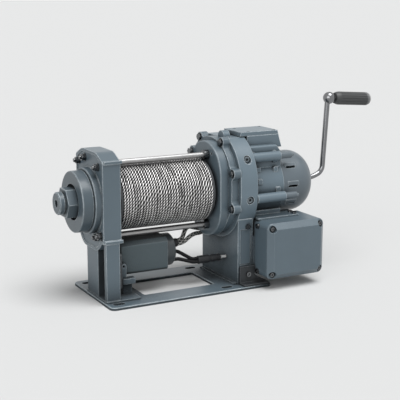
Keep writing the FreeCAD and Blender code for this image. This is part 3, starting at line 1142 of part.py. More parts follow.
# Braided cables from the contactor to the right pedestal, and the two leads to the plug
braid = size("braid_radius")
tube("braided_cable_upper", [
    (10, 4.2, 98.2), (26, 4.2, 98.2), (39, 16, 118), (57, 32, 120), (78, 51, 111), (106, 68, 101),
    (123, 68, 101),
], braid)
tube("braided_cable_lower", [
    (10, -4.2, 93.8), (24, -4.2, 93.8), (44, 1, 106), (64, 14, 107), (85, 34, 101), (106, 54, 98),
    (123, 54, 98),
], braid)
lead = size("lead_radius")
tube("lead_upper", [(-7, -13, 80), (5, -13, 80), (36, -24.6, 60.5), (47, -24.6, 60.5)], lead)
tube("lead_lower", [(-7, -19, 64), (5, -19, 64), (36, -31.4, 55.5), (47, -31.4, 55.5)], lead)
plug = new_body("lead_plug", coaxial=False)
plug.setExpression("Placement.Base.y", bound("plug_side"))
plug.setExpression("Placement.Base.z", bound("plug_height"))
turn(plug, [
    ("plug_left", "0"), ("plug_left", "plug_body", "edge_round"),
    ("plug_waist_left - 2 * plug_slope", "plug_body", "edge_round"), ("plug_waist_left", "plug_waist"),
    ("plug_collar_left - plug_slope", "plug_waist"), ("plug_collar_left", "plug_collar"),
    ("plug_groove_left - plug_slope", "plug_collar"), ("plug_groove_left", "plug_waist"),
    ("plug_groove_right", "plug_waist"), ("plug_groove_right + plug_slope", "plug_collar"),
    ("plug_right", "plug_collar"), ("plug_right", "0"),
])
pin = new_body("plug_pin", coaxial=False)
pin.setExpression("Placement.Base.y", bound("plug_side"))
pin.setExpression("Placement.Base.z", bound("plug_height"))
turn(pin, [
    ("plug_right", "0"), ("plug_right", "pin_root"), ("pedestal_left - pin_taper", "pin_radius"),
    ("pedestal_left + pin_lap", "pin_radius"), ("pedestal_left + pin_lap", "0"),
])

# Hand crank: a bent rod with a ball eye, and a grip that turns on a spindle
bent = new_body("crank_bent_rod", node=False)
route = sketch_on(bent, "XZ_Plane")
outline(route, [
    ("crank_root", "0"), ("crank_elbow", "0", "elbow_bend"), ("crank_knee", "crank_knee_rise", "knee_bend"),
    ("crank_top", "crank_top_rise"),
], closed=False)
section = sketch_on(bent, "YZ_Plane", "crank_root")
circle(section, ("0", "0"), "crank_radius")
pipe = bent.newObject("PartDesign::AdditivePipe", "pipe")
pipe.Profile = section
pipe.Spine = (route, [""])
ball = doc.addObject("Part::Sphere", "crank_ball")
ball.setExpression("Radius", bound("ball_radius"))
ball.setExpression("Placement.Base.x", bound("ball_shift"))
ball.setExpression("Placement.Base.z", bound("axis_height + ball_rise"))
eye = doc.addObject("Part::Cylinder", "crank_eye")
eye.setExpression("Radius", bound("spindle_radius"))
eye.setExpression("Height", bound("ball_radius * 2"))
tilt = Rotation(AXIS_Y, size("grip_tilt"))
grip_origin = over_axis("ball_shift", "0", "ball_rise")
eye_root = grip_origin + tilt.multVec(AXIS_X * size("spindle_root"))
eye.Placement = Placement(eye_root, tilt * Rotation(AXIS_Z, AXIS_X))
forged = combined("crank_forging", "Fuse", bent, ball, node=False)
combined("crank_rod", "Cut", forged, eye)
GRIP_PLACE = Placement(grip_origin, tilt)
grip_spindle = new_body("grip_spindle", coaxial=False)
grip_spindle.Placement = GRIP_PLACE
turn(grip_spindle, [
    ("spindle_root", "0"), ("spindle_root", "spindle_radius"), ("grip_end + button_gap", "spindle_radius"),
    ("grip_end + button_gap", "grip_radius - button_inset"),
    ("grip_end + button_thick", "grip_radius - button_inset", "button_inset"),
    ("grip_end + button_thick", "0"),
])
grip = new_body("grip", coaxial=False)
grip.Placement = GRIP_PLACE
turn(grip, [
    ("grip_start", "spindle_radius + close_gap"), ("grip_end", "spindle_radius + close_gap"),
    ("grip_end", "grip_radius", "edge_round"), ("grip_start + grip_crown_reach", "grip_radius", "grip_crown"),
    ("grip_start", "grip_radius - grip_waist"),
])
flute = sketch_on(grip, "YZ_Plane", "grip_start + flute_start")
circle(flute, ("0", "grip_radius + flute_lift"), "flute_radius")
flute_length = "grip_end - grip_start - flute_start - flute_end"
spread(grip, pocket(grip, flute, flute_length, forward=True), "grip_flutes")

doc.recompute()
for item in doc.Objects:
    if any(state in ("Invalid", "Error") for state in item.State):
        raise RuntimeError(f"{item.Name} of {item.Label} failed: {item.State}")
    if item.TypeId == "PartDesign::Pocket":
        removed = item.BaseFeature.Shape.Volume - item.Shape.Volume
        if removed < 1:
            raise RuntimeError(f"{item.Name} in {item.getParentGeoFeatureGroup().Label} cuts nothing")
for node in nodes:
    if node.Shape.isNull() or not node.Shape.isValid():
        raise RuntimeError(f"{node.Label} has no valid shape")

os.makedirs("parts", exist_ok=True)
for node in nodes:
    node.Shape.exportStep(f"parts/{node.Label}.step")
print(f"{len(nodes)} nodes written")
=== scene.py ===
# %% [markdown]
# # An electric winch, dressed for a studio photograph
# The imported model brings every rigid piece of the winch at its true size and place. This lesson adds the
# looks: the camera, the light, the finish of each surface, and the pieces that are easier to make as
# meshes, such as the wound wire rope and the braided cables.

# %% Load the frame
import math

import bpy
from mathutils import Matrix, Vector


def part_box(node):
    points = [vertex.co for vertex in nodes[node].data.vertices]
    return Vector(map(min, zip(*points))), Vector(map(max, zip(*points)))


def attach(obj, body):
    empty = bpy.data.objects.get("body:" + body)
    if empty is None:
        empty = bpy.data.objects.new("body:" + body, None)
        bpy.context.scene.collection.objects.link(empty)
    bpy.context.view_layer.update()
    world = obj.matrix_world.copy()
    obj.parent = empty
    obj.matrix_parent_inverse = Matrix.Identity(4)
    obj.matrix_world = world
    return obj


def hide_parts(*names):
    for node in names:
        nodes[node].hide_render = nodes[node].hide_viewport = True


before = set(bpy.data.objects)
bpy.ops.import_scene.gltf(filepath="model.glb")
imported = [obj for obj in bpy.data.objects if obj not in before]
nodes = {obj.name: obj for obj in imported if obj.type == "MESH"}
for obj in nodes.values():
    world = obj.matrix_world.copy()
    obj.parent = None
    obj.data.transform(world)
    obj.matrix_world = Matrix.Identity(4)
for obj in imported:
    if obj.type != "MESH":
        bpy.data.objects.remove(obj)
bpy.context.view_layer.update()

MM = 0.001
scene = bpy.context.scene

# %% [markdown]
# ## Camera
# The photograph was taken with a long lens, from the left and a little above. A camera can be moved by eye
# until the picture fits, but then a wrong size of the winch and a wrong place of the camera look alike.
# Here the lines of the base plate and the tie rods were used to work out where the camera stood, and the
# result is written as values.

# %% Place the camera
CAMERA_PLACE = Vector((-0.9299, -1.8745, 0.6344))
CAMERA_TARGET = Vector((0.0687, 0.0, 0.1846))
# The lens and the sensor are in millimetres.
CAMERA_LENS = 89.06
SENSOR_WIDTH = 36.0


def aim(thing, place, target):
    """Puts a camera or lamp at place, looking at target."""
    thing.location = place
    thing.rotation_euler = (target - place).to_track_quat("-Z", "Y").to_euler()


camera_data = bpy.data.cameras.new("photo_camera")
camera_data.lens = CAMERA_LENS
camera_data.sensor_width = SENSOR_WIDTH
camera_data.sensor_fit = "HORIZONTAL"
camera = bpy.data.objects.new("photo_camera", camera_data)
scene.collection.objects.link(camera)
aim(camera, CAMERA_PLACE, CAMERA_TARGET)
scene.camera = camera
scene.view_settings.view_transform = "Standard"
print("camera", round((CAMERA_TARGET - CAMERA_PLACE).length, 3), "m from its target")

# %% [markdown]
# ## Floor
# The winch stands on pale studio paper. A modelled sweep of paper would need a bend behind the winch and
# light of its own. One flat face that runs far past the view is simpler: it is the floor, the backdrop and
# the place for the shadow.

# %% Floor
FLOOR_REACH = 60.0
FLOOR_COLOUR = (0.595, 0.60, 0.60, 1.0)


def start_material(name):
    """A material whose tree holds only its main shader and its output."""
    material = bpy.data.materials.new(name)
    material.use_nodes = True
    tree = material.node_tree
    return material, tree, tree.nodes["Principled BSDF"]


floor_mesh = bpy.data.meshes.new("studio_floor")
floor_corners = [(FLOOR_REACH * x, FLOOR_REACH * y, 0) for x, y in ((-1, -1), (1, -1), (1, 1), (-1, 1))]
floor_mesh.from_pydata(floor_corners, [], [(0, 1, 2, 3)])
floor_paper, _, floor_shader = start_material("pale_floor")
floor_shader.inputs["Base Color"].default_value = FLOOR_COLOUR
# Studio paper has no gloss.
floor_shader.inputs["Roughness"].default_value = 1.0
floor_shader.inputs["Specular IOR Level"].default_value = 0.0
floor_mesh.materials.append(floor_paper)
floor = bpy.data.objects.new("studio_floor", floor_mesh)
scene.collection.objects.link(floor)
print("floor", 2 * FLOOR_REACH, "m wide")

# %% [markdown]
# ## Nodes in a few words
# A sky or a finish is a small tree of nodes: some make a pattern, some change a value, and the last one
# shades. A tree can be drawn by hand in Blender's node editor, but a script can be read, changed and run
# again. Three helpers keep it short: one adds a node and sets its sockets, one does arithmetic, and one
# moves a value to another range.

# %% Node helpers


def add_node(tree, kind, **settings):
    """A new node; keywords set its properties, or its input sockets where it has no such property."""
    node = tree.nodes.new(kind)
    for key, value in settings.items():
        if hasattr(node, key):
            setattr(node, key, value)
        else:
            node.inputs[key.replace("_", " ")].default_value = value
    return node


def maths(tree, operation, first, second=0.0):
    """The result of a Math node on two values, each a socket or a number."""
    node = add_node(tree, "ShaderNodeMath", operation=operation)
    for socket, value in zip(node.inputs, (first, second)):
        if isinstance(value, (int, float)):
            socket.default_value = value
        else:
            tree.links.new(value, socket)
    return node.outputs["Value"]


def mapped(tree, value, low, high, to_low=0.0, to_high=1.0, kind="LINEAR"):
    """A value moved from the range low to high into another range, and held inside it."""
    node = add_node(tree, "ShaderNodeMapRange", interpolation_type=kind)
    for socket, number in zip(("From Min", "From Max", "To Min", "To Max"), (low, high, to_low, to_high)):
        node.inputs[socket].default_value = number
    tree.links.new(value, node.inputs["Value"])
    return node.outputs["Result"]


print("helpers for nodes ready")

# %% [markdown]
# ## Sky
# In a studio, pale walls fill the shadows. A picture of such a room could light the scene, but one even
# colour is enough for soft light. The backdrop has to look pale, but that much light from all sides would
# wash out the shadows. So the Light Path node shows a stronger sky to the eye and to glossy surfaces than
# the one that lights the winch.

# %% Sky
SKY_COLOUR = (1.0, 1.0, 1.0, 1.0)
SKY_STRENGTH = 0.34
BACKDROP_STRENGTH = 0.85

world = bpy.data.worlds.new("studio_sky")
world.use_nodes = True
tree = world.node_tree
sky = tree.nodes["Background"]
sky.inputs["Color"].default_value = SKY_COLOUR
ray = add_node(tree, "ShaderNodeLightPath").outputs
mirrored = maths(tree, "ADD", ray["Is Glossy Ray"], ray["Is Transmission Ray"])
seen = maths(tree, "ADD", ray["Is Camera Ray"], mirrored)
tree.links.new(mapped(tree, seen, 0.0, 1.0, SKY_STRENGTH, BACKDROP_STRENGTH), sky.inputs["Strength"])
scene.world = world
print("sky", SKY_STRENGTH, "for light,", BACKDROP_STRENGTH, "for the eye")

# %% [markdown]
# ## Lamps
# The light in the photograph is soft and comes mostly from above, with a smaller share from the left. Area
# lamps are closest to the soft boxes of a studio, but their light fades across a wide floor. A sun lamp
# with a wide angle is as soft and lights the whole floor evenly, so the floor stays one tone.

# %% Lamps
LAMP_DISTANCE = 3.0
# Each lamp: the direction to it, its angle in degrees and its strength.
LAMPS = {
    "key_lamp": (Vector((0.1, -0.3, 0.95)), 42, 3.0),
    "side_lamp": (Vector((-0.74, -0.62, 0.26)), 50, 1.25),
}
for lamp_name, (towards, spread, strength) in LAMPS.items():
    lamp_data = bpy.data.lights.new(lamp_name, "SUN")
    lamp_data.angle = math.radians(spread)
    lamp_data.energy = strength
    lamp = bpy.data.objects.new(lamp_name, lamp_data)
    scene.collection.objects.link(lamp)
    aim(lamp, LAMP_DISTANCE * towards, Vector((0.0, 0.0, 0.0)))
    print(lamp_name, "strength", strength, "angle", spread)

# %% [markdown]
# ## Patterns, colours and bumps
# No surface of a real machine has one flat colour. Images could carry the marks, but then each piece has to
# be unwrapped first. Noise in the piece's own space needs no unwrapping and stays on the piece when it
# moves. The helpers here make noise, mix and shade colours, and turn a pattern into small bumps.

# %% Pattern helpers


def noise(tree, scale, detail, roughness=0.5, stretch=(1, 1, 1)):
    """Noise in the piece's own space; a stretch below 1 draws its marks out along that axis."""
    place = add_node(tree, "ShaderNodeTexCoord")
    lay = add_node(tree, "ShaderNodeMapping", Scale=stretch)
    tree.links.new(place.outputs["Object"], lay.inputs["Vector"])
    texture = add_node(tree, "ShaderNodeTexNoise", Scale=scale, Detail=detail, Roughness=roughness)
    tree.links.new(lay.outputs["Vector"], texture.inputs["Vector"])
    return texture.outputs["Fac"]


def blend(tree, share, first, second):
    """A colour between two; each is a socket or three numbers.

    The Mix node has sockets of the same name for each type of data, so the colour ones are taken by number.
    """
    node = add_node(tree, "ShaderNodeMix", data_type="RGBA")
    tree.links.new(share, node.inputs[0])
    for socket, colour in zip((node.inputs[6], node.inputs[7]), (first, second)):
        if isinstance(colour, tuple):
            socket.default_value = (*colour, 1.0)
        else:
            tree.links.new(colour, socket)
    return node.outputs[2]


def shaded(colour, share):
    """A colour made darker or lighter by a share."""
    return tuple(min(1.0, share * part) for part in colour)


def bumped(tree, height, strength, distance, under=None):
    """A normal with small bumps; under is a normal that they lie on, in place of the true one."""
    node = add_node(tree, "ShaderNodeBump", Strength=strength, Distance=distance)
    tree.links.new(height, node.inputs["Height"])
    if under is not None:
        tree.links.new(under, node.inputs["Normal"])
    return node.outputs["Normal"]


print("helpers for patterns ready")

# %% [markdown]
# ## Paint
# The castings and sheet pieces of the winch carry one satin blue-grey enamel, sprayed on. Up close it has a
# faint orange peel and slow changes of tone. Its edges are paler, partly wear and partly a painted
# highlight, and painted shade darkens its corners. Such marks could be painted on by hand, piece by piece.
# Here nodes find them on any shape. A Bevel node gives a normal that is rounded at the edges: where it
# leaves the true one, the surface turns a corner. An Ambient Occlusion node tells how open a spot is, and
# the painted shade is laid where it is closed.

# %% Edges and corners
EDGE_WIDTH = 2.4 * MM
EDGE_SAMPLES = 4
CORNER_SAMPLES = 8
FLAT_COSINE = 0.998
EDGE_COSINE = 0.92


def rounded_normal(tree):
    """The surface's normal, turned smoothly over its edges."""
    return add_node(tree, "ShaderNodeBevel", samples=EDGE_SAMPLES, Radius=EDGE_WIDTH).outputs["Normal"]


def edge_share(tree, rounded):
    """0 on the flat and 1 on an edge, where the rounded normal leaves the true one."""
    turn = add_node(tree, "ShaderNodeVectorMath", operation="DOT_PRODUCT")
    tree.links.new(rounded, turn.inputs[0])
    tree.links.new(add_node(tree, "ShaderNodeNewGeometry").outputs["Normal"], turn.inputs[1])
    return mapped(tree, turn.outputs["Value"], FLAT_COSINE, EDGE_COSINE)


def open_share(tree, reach, low, high, to_low=0.0, to_high=1.0):
    """How open a spot is within a reach, moved from the range low to high into another range."""
    corner = add_node(tree, "ShaderNodeAmbientOcclusion", samples=CORNER_SAMPLES, Distance=reach)
    return mapped(tree, corner.outputs["AO"], low, high, to_low, to_high)


print("edges are felt over", round(EDGE_WIDTH / MM, 1), "mm")

# %% Paint recipe
TONE_GRAIN, EDGE_PATCH_GRAIN, PEEL_GRAIN = 14.0, 90.0, 650.0
TONE_SPREAD = 0.12
SATIN_DRIFT = (-0.06, 0.08)
# Noise from low to high, and how much of the paler edge, wear and painted highlight, it leaves there.
EDGE_PATCHES = (0.3, 0.6, 0.5, 1.0)
PEEL_HEIGHT = 1.0 * MM
# Painted shade: the share of the colour left in the darkest corners, and the roughness there.
PAINTED_SHADE_SHARE = 0.15
PAINTED_SHADE_ROUGH = 1.0
# Painted shade near corners: how far round a corner is felt, the openness where it is darkest and where it
# ends.
NEAR_PAINTED_SHADE = (22.0 * MM, 0.25, 0.65)


def painted(name, colour, roughness, worn_and_highlight, peel=0.06, painted_shade=NEAR_PAINTED_SHADE):
    """Satin enamel with slow tone changes, orange peel, paler edges and painted shade in the corners.

    The edges are part wear and part painted highlight. The painted shade darkens and dulls the corners; it
    is given as how far round a corner is felt, and the openness where it is darkest and where it ends.
    """
    material, tree, shader = start_material(name)
    link = tree.links.new
    tone = noise(tree, TONE_GRAIN, detail=4.0, roughness=0.55)
    rounded = rounded_normal(tree)
    unshaded = open_share(tree, *painted_shade)
    paint = blend(tree, tone, shaded(colour, 1 - TONE_SPREAD), shaded(colour, 1 + TONE_SPREAD))
    # Painted shade: the colour darkens where the AO node finds corners and overhangs.
    paint = blend(tree, unshaded, shaded(colour, PAINTED_SHADE_SHARE), paint)
    patches = mapped(tree, noise(tree, EDGE_PATCH_GRAIN, detail=3.0), *EDGE_PATCHES)
    # Paler edges: wear and a painted highlight, kept out of the painted shade.
    wear_and_painted_light = maths(tree, "MULTIPLY", maths(tree, "MULTIPLY", edge_share(tree, rounded), patches), unshaded)
    link(blend(tree, wear_and_painted_light, paint, worn_and_highlight), shader.inputs["Base Color"])
    dull = mapped(tree, unshaded, 0.0, 1.0, PAINTED_SHADE_ROUGH, roughness)
    drift = mapped(tree, tone, 0.0, 1.0, *SATIN_DRIFT)
    link(maths(tree, "ADD", dull, drift), shader.inputs["Roughness"])
    grain = noise(tree, PEEL_GRAIN, detail=2.0)
    link(bumped(tree, grain, peel, PEEL_HEIGHT, under=rounded), shader.inputs["Normal"])
    return material


print("paint recipe: grime is felt over", round(NEAR_PAINTED_SHADE[0] / MM), "mm")

# %% Paint on the castings and stands
SATIN = 0.33
BLUE_GREY = (0.086, 0.118, 0.141)
# A paler copy of the blue-grey: painted light on the castings that face the light more.
BLUE_GREY_PAINTED_LIGHT = shaded(BLUE_GREY, 1.3)
# A darker copy of the blue-grey: painted shade on the bearing cover, the drum shaft and its nut.
BLUE_GREY_PAINTED_SHADE = shaded(BLUE_GREY, 0.7)
# Colour of the paler edges: wear and a painted highlight.
RUB_AND_HIGHLIGHT = (0.55, 0.61, 0.64)
# Painted shade that reaches farther: darker gaps, slots and recesses on the castings, the stands and the
# contactor.
WIDE_PAINTED_SHADE = (55.0 * MM, 0.2, 0.78)
DEEP_PAINTED_SHADE = (110.0 * MM, 0.45, 0.78)


def wear(material, *names):
    """Gives CAD nodes a finish."""
    for name in names:
        nodes[name].data.materials.clear()
        nodes[name].data.materials.append(material)
    print(material.name, "on", ", ".join(names))


wear(painted("blue_grey_enamel", BLUE_GREY, SATIN, RUB_AND_HIGHLIGHT),
     "left_bracket", "right_flange", "gear_case_cover", "box_bracket")
# The stands get the deep painted shade, which darkens their gaps and slots.
wear(painted("stand_enamel", BLUE_GREY, SATIN, RUB_AND_HIGHLIGHT, painted_shade=DEEP_PAINTED_SHADE),
     "base_plate", "left_pedestal", "right_pedestal", "contactor_foot")
# The castings take the paler copy, which is painted light.
wear(painted("casting_enamel", BLUE_GREY_PAINTED_LIGHT, SATIN, RUB_AND_HIGHLIGHT, painted_shade=WIDE_PAINTED_SHADE),
     "gear_case", "motor_body", "terminal_box", "terminal_box_lid")
# The bearing cover, shaft and nut take the darker copy, which is painted shade.
wear(painted("cover_enamel", BLUE_GREY_PAINTED_SHADE, SATIN, RUB_AND_HIGHLIGHT),
     "bearing_cover", "drum_shaft", "shaft_nut")

# %% Paint on the boxes and caps
# The colours for the paler edges below are wear and a painted highlight.
BOX_RUB_AND_HIGHLIGHT = (0.15, 0.19, 0.22)
DARK_RUB_AND_HIGHLIGHT = (0.22, 0.25, 0.27)
# A darker copy of the blue-grey: painted shade in the recessed pedestal panel.
PANEL_GREY_PAINTED_SHADE = shaded(BLUE_GREY, 0.75)
MOTOR_CAP_GREY, MOTOR_CAP_RUB_AND_HIGHLIGHT = (0.096, 0.120, 0.138), (0.30, 0.34, 0.36)
# The contactor body's dark grey is painted shade: the same kind of enamel, darkened as if in shadow.
CONTACTOR_GREY_PAINTED_SHADE = (0.055, 0.077, 0.087)
CONTACTOR_CAP_GREY, CONTACTOR_CAP_RUB_AND_HIGHLIGHT = (0.034, 0.041, 0.045), (0.14, 0.16, 0.17)
wear(painted("box_enamel", BLUE_GREY, SATIN, BOX_RUB_AND_HIGHLIGHT), "control_box", "control_box_lid")
wear(painted("panel_enamel", PANEL_GREY_PAINTED_SHADE, roughness=0.38, worn_and_highlight=DARK_RUB_AND_HIGHLIGHT), "pedestal_panel")
wear(painted("cap_enamel", MOTOR_CAP_GREY, roughness=0.3, worn_and_highlight=MOTOR_CAP_RUB_AND_HIGHLIGHT, peel=0.03),
     "motor_cap", "motor_bolts")
# The contactor body: dark grey as painted shade, with deep painted shade on its top under the drum.
wear(painted("dark_enamel", CONTACTOR_GREY_PAINTED_SHADE, roughness=0.4, worn_and_highlight=DARK_RUB_AND_HIGHLIGHT, painted_shade=DEEP_PAINTED_SHADE),
     "contactor_body")
wear(painted("contactor_cap_enamel", CONTACTOR_CAP_GREY, roughness=0.4, worn_and_highlight=CONTACTOR_CAP_RUB_AND_HIGHLIGHT),
     "contactor_cap")

# %% Paint on the black pieces
# The second colour of each pair is for the paler edges: wear and a painted highlight.
BRACKET_BLACK, BRACKET_RUB_AND_HIGHLIGHT = (0.020, 0.023, 0.026), (0.10, 0.11, 0.12)
DRUM_BLACK, DRUM_RUB_AND_HIGHLIGHT = (0.03, 0.033, 0.036), (0.16, 0.17, 0.18)
wear(painted("black_enamel", BRACKET_BLACK, roughness=0.45, worn_and_highlight=BRACKET_RUB_AND_HIGHLIGHT),
     "contactor_plate", "foot_bracket", "motor_end_shield")
wear(painted("drum_enamel", DRUM_BLACK, roughness=0.5, worn_and_highlight=DRUM_RUB_AND_HIGHLIGHT), "drum")

# %% [markdown]
# ## Metal
# Bolts and nuts are zinc plated, tie rods and crank are drawn and polished, gears and shafts are turned.
# Bare metal shows what stands around it, so its look comes from its roughness more than from its colour. A
# smooth mirror would look drawn, and modelled scratches would be far too many faces. So fine noise changes
# the roughness from spot to spot, stretched along the way the metal was drawn or turned. One recipe with a
# few values serves all of them.

# %% Metal recipe
MARK_GRAIN, CLOUD_GRAIN = 420.0, 60.0
CLOUD_DARK, CLOUD_PALE = 0.8, 1.15
SMOOTHEST = 0.04
MARK_STRENGTH, MARK_DEPTH = 0.04, 0.4 * MM


def bare_metal(name, colour, roughness, stretch, spread=0.12, metal=1.0):
    """Bare metal with fine marks; stretch scales the marks along X, Y and Z."""
    material, tree, shader = start_material(name)
    link = tree.links.new
    marks = noise(tree, MARK_GRAIN, detail=4.0, roughness=0.6, stretch=stretch)
    smooth = max(SMOOTHEST, roughness - spread)
    link(mapped(tree, marks, 0.0, 1.0, smooth, roughness + spread), shader.inputs["Roughness"])
    cloud = noise(tree, CLOUD_GRAIN, detail=3.0)
    tones = shaded(colour, CLOUD_DARK), shaded(colour, CLOUD_PALE)
    link(blend(tree, cloud, *tones), shader.inputs["Base Color"])
    shader.inputs["Metallic"].default_value = metal
    link(bumped(tree, marks, MARK_STRENGTH, MARK_DEPTH), shader.inputs["Normal"])
    return material


print("metal recipe: marks up to", round(MARK_STRENGTH * MARK_DEPTH / MM, 3), "mm deep")

# %% Plated and polished pieces
EVEN = (1, 1, 1)
DRAWN_ALONG_X = (0.05, 1, 1)
DRAWN_ALONG_Z = (1, 1, 0.05)
ZINC = (0.15, 0.155, 0.16)
ROD_STEEL = (0.38, 0.38, 0.38)
CRANK_STEEL = (0.22, 0.223, 0.23)
PIN_METAL = (0.85, 0.85, 0.84)
wear(bare_metal("zinc_plate", ZINC, roughness=0.2, stretch=EVEN, spread=0.05),
     "bracket_bolts", "case_bolts", "box_lid_screws", "pedestal_bolts", "tie_rod_nuts", "oil_plug",
     "rope_clamp")
wear(bare_metal("polished_rod", ROD_STEEL, roughness=0.42, stretch=DRAWN_ALONG_X, spread=0.06),
     "tie_rods", "grip_spindle")
wear(bare_metal("bright_crank", CRANK_STEEL, roughness=0.2, stretch=DRAWN_ALONG_Z, spread=0.06),
     "crank_rod")
wear(bare_metal("bright_pin", PIN_METAL, roughness=0.3, stretch=EVEN, metal=0.4), "plug_pin")

# %% Gears, shafts and windings
TURNED_ROUND_X = (1, 0.1, 0.1)
TURNED_STEEL = (0.45, 0.45, 0.45)
BRONZE = (0.62, 0.34, 0.16)
wear(bare_metal("machined_steel", TURNED_STEEL, roughness=0.35, stretch=TURNED_ROUND_X),
     "output_gear", "layshaft", "layshaft_gear", "motor_shaft", "drum_bearing_outer_rings",
     "drum_bearing_inner_rings", "motor_bearing_outer_rings", "motor_bearing_inner_rings", "rotor_core",
     "stator_core")
wear(bare_metal("copper_and_bronze", BRONZE, roughness=0.35, stretch=EVEN),
     "layshaft_bushes", "stator_windings")

# %% [markdown]
# ## Rubber and plastic
# The leads and seals are matt black rubber. The plug, the gland, the relay and the fan are dark moulded
# plastic. Both could be plain black, but then their highlights are too clean. A fine skin, as a mould
# leaves it, breaks them up.

# %% Moulded recipe
SKIN_SPREAD = 0.3
SKIN_DRIFT = 0.08
SKIN_DEPTH = 0.5 * MM


def moulded(name, colour, roughness, grain, strength, gloss=0.5):
    """Matt moulded material with a fine skin."""
    material, tree, shader = start_material(name)
    link = tree.links.new
    skin = noise(tree, grain, detail=3.0, roughness=0.6)
    tones = shaded(colour, 1 - SKIN_SPREAD), shaded(colour, 1 + SKIN_SPREAD)
    link(blend(tree, skin, *tones), shader.inputs["Base Color"])
    dullness = mapped(tree, skin, 0.0, 1.0, roughness - SKIN_DRIFT, roughness + SKIN_DRIFT)
    link(dullness, shader.inputs["Roughness"])
    shader.inputs["Specular IOR Level"].default_value = gloss
    link(bumped(tree, skin, strength, SKIN_DEPTH), shader.inputs["Normal"])
    return material


print("moulded recipe: a skin", round(SKIN_DEPTH / MM, 1), "mm deep at full strength")

# %% Rubber and plastic pieces
RUBBER_BLACK = (0.008, 0.008, 0.009)
PLASTIC_BLACK = (0.018, 0.019, 0.021)
wear(moulded("black_rubber", RUBBER_BLACK, roughness=0.5, grain=900.0, strength=0.1, gloss=0.15),
     "lead_upper", "lead_lower", "shaft_seals")
wear(moulded("dark_plastic", PLASTIC_BLACK, roughness=0.42, grain=700.0, strength=0.08, gloss=0.3),
     "lead_plug", "cable_gland", "relay_unit", "cooling_fan")

# %% [markdown]
# ## Grip
# The hand grip is a rubber sleeve with a steel cap at its outer end, flush with the rubber. The cap could
# be a piece of its own, but as the two are flush, one material that changes at a line does the same with no
# seam. The line is a place on the X axis, round which the grip turns, so the cap stays where it is when the
# grip moves.

# %% Grip and its end cap
END_CAP = 7.0 * MM
CAP_LINE = 0.2 * MM
CAP_STEEL = (0.20, 0.205, 0.21)
GRIP_GREY = (0.04, 0.042, 0.043)
grip_rubber = moulded("grip_rubber", GRIP_GREY, roughness=0.5, grain=900.0, strength=0.1)
tree = grip_rubber.node_tree
shader = tree.nodes["Principled BSDF"]
spot = add_node(tree, "ShaderNodeSeparateXYZ")
tree.links.new(add_node(tree, "ShaderNodeTexCoord").outputs["Object"], spot.inputs["Vector"])
cap_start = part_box("grip")[1].x - END_CAP
on_cap = mapped(tree, spot.outputs["X"], cap_start, cap_start + CAP_LINE)
sleeve_colour = shader.inputs["Base Color"].links[0].from_socket
tree.links.new(blend(tree, on_cap, sleeve_colour, CAP_STEEL), shader.inputs["Base Color"])
tree.links.new(on_cap, shader.inputs["Metallic"])
wear(grip_rubber, "grip")
print("grip end cap from", round(cap_start, 4), "m")

# %% [markdown]
# ## Geometry Nodes in a few words
# What repeats or follows a path could be modelled by hand, turn by turn. A geometry tree makes it from a
# few named sizes, and a changed size changes it everywhere. The tree is built here, hung on a carrier
# object as a modifier, worked out once, and kept as a plain mesh.

# %% Start and end of a geometry tree


def new_tree(name, sizes):
    """A geometry tree with a named input for each size, and the sockets of these inputs."""
    tree = bpy.data.node_groups.new(name, "GeometryNodeTree")
    for way in ("OUTPUT", "INPUT"):
        tree.interface.new_socket("Geometry", in_out=way, socket_type="NodeSocketGeometry")
    for label, size in sizes.items():
        tree.interface.new_socket(label, in_out="INPUT", socket_type="NodeSocketFloat").default_value = size
    return tree, add_node(tree, "NodeGroupInput").outputs


def end_tree(tree, mesh, material):
    """Closes a tree: smooth faces, real geometry, one material."""
    smooth = add_node(tree, "GeometryNodeSetShadeSmooth")
    whole = add_node(tree, "GeometryNodeRealizeInstances")
    finish = add_node(tree, "GeometryNodeSetMaterial", Material=material)
    out = add_node(tree, "NodeGroupOutput")
    tree.links.new(mesh, smooth.inputs["Geometry"])
    for node, following in ((smooth, whole), (whole, finish), (finish, out)):
        tree.links.new(node.outputs["Geometry"], following.inputs["Geometry"])


print("helpers for geometry trees ready")

# %% From a geometry tree to a plain mesh


def plain_mesh(name, tree, path=None):
    """The result of a node tree as an object with a plain mesh."""
    carrier = bpy.data.objects.new(name + "_carrier", path or bpy.data.meshes.new(name + "_carrier"))
    scene.collection.objects.link(carrier)
    carrier.modifiers.new("tree", "NODES").node_group = tree
    graph = bpy.context.evaluated_depsgraph_get()
    mesh = bpy.data.meshes.new_from_object(carrier.evaluated_get(graph))
    mesh.name = name
    bpy.data.objects.remove(carrier)
    piece = bpy.data.objects.new(name, mesh)
    scene.collection.objects.link(piece)
    return piece


print("helper for plain meshes ready")

# %% Steps inside a geometry tree


def position(tree):
    """The X, Y and Z of each point, as sockets."""
    spot = add_node(tree, "ShaderNodeSeparateXYZ")
    tree.links.new(add_node(tree, "GeometryNodeInputPosition").outputs["Position"], spot.inputs["Vector"])
    return spot.outputs


def moved(tree, geometry, place):
    """The geometry with each point at a new place."""
    node = add_node(tree, "GeometryNodeSetPosition")
    tree.links.new(geometry, node.inputs["Geometry"])
    tree.links.new(place, node.inputs["Position"])
    return node.outputs["Geometry"]


def keep(tree, geometry, name, value):
    """Writes a value on every point, for the material to read."""
    node = add_node(tree, "GeometryNodeStoreNamedAttribute", data_type="FLOAT", domain="POINT", Name=name)
    tree.links.new(geometry, node.inputs["Geometry"])
    tree.links.new(value, node.inputs["Value"])
    return node.outputs["Geometry"]


def swept(tree, path, section):
    """A section drawn along a path into a tube with closed ends."""
    tube = add_node(tree, "GeometryNodeCurveToMesh", Fill_Caps=True)
    tree.links.new(path, tube.inputs["Curve"])
    tree.links.new(section, tube.inputs["Profile Curve"])
    return tube.outputs["Mesh"]


print("helpers for tubes ready")

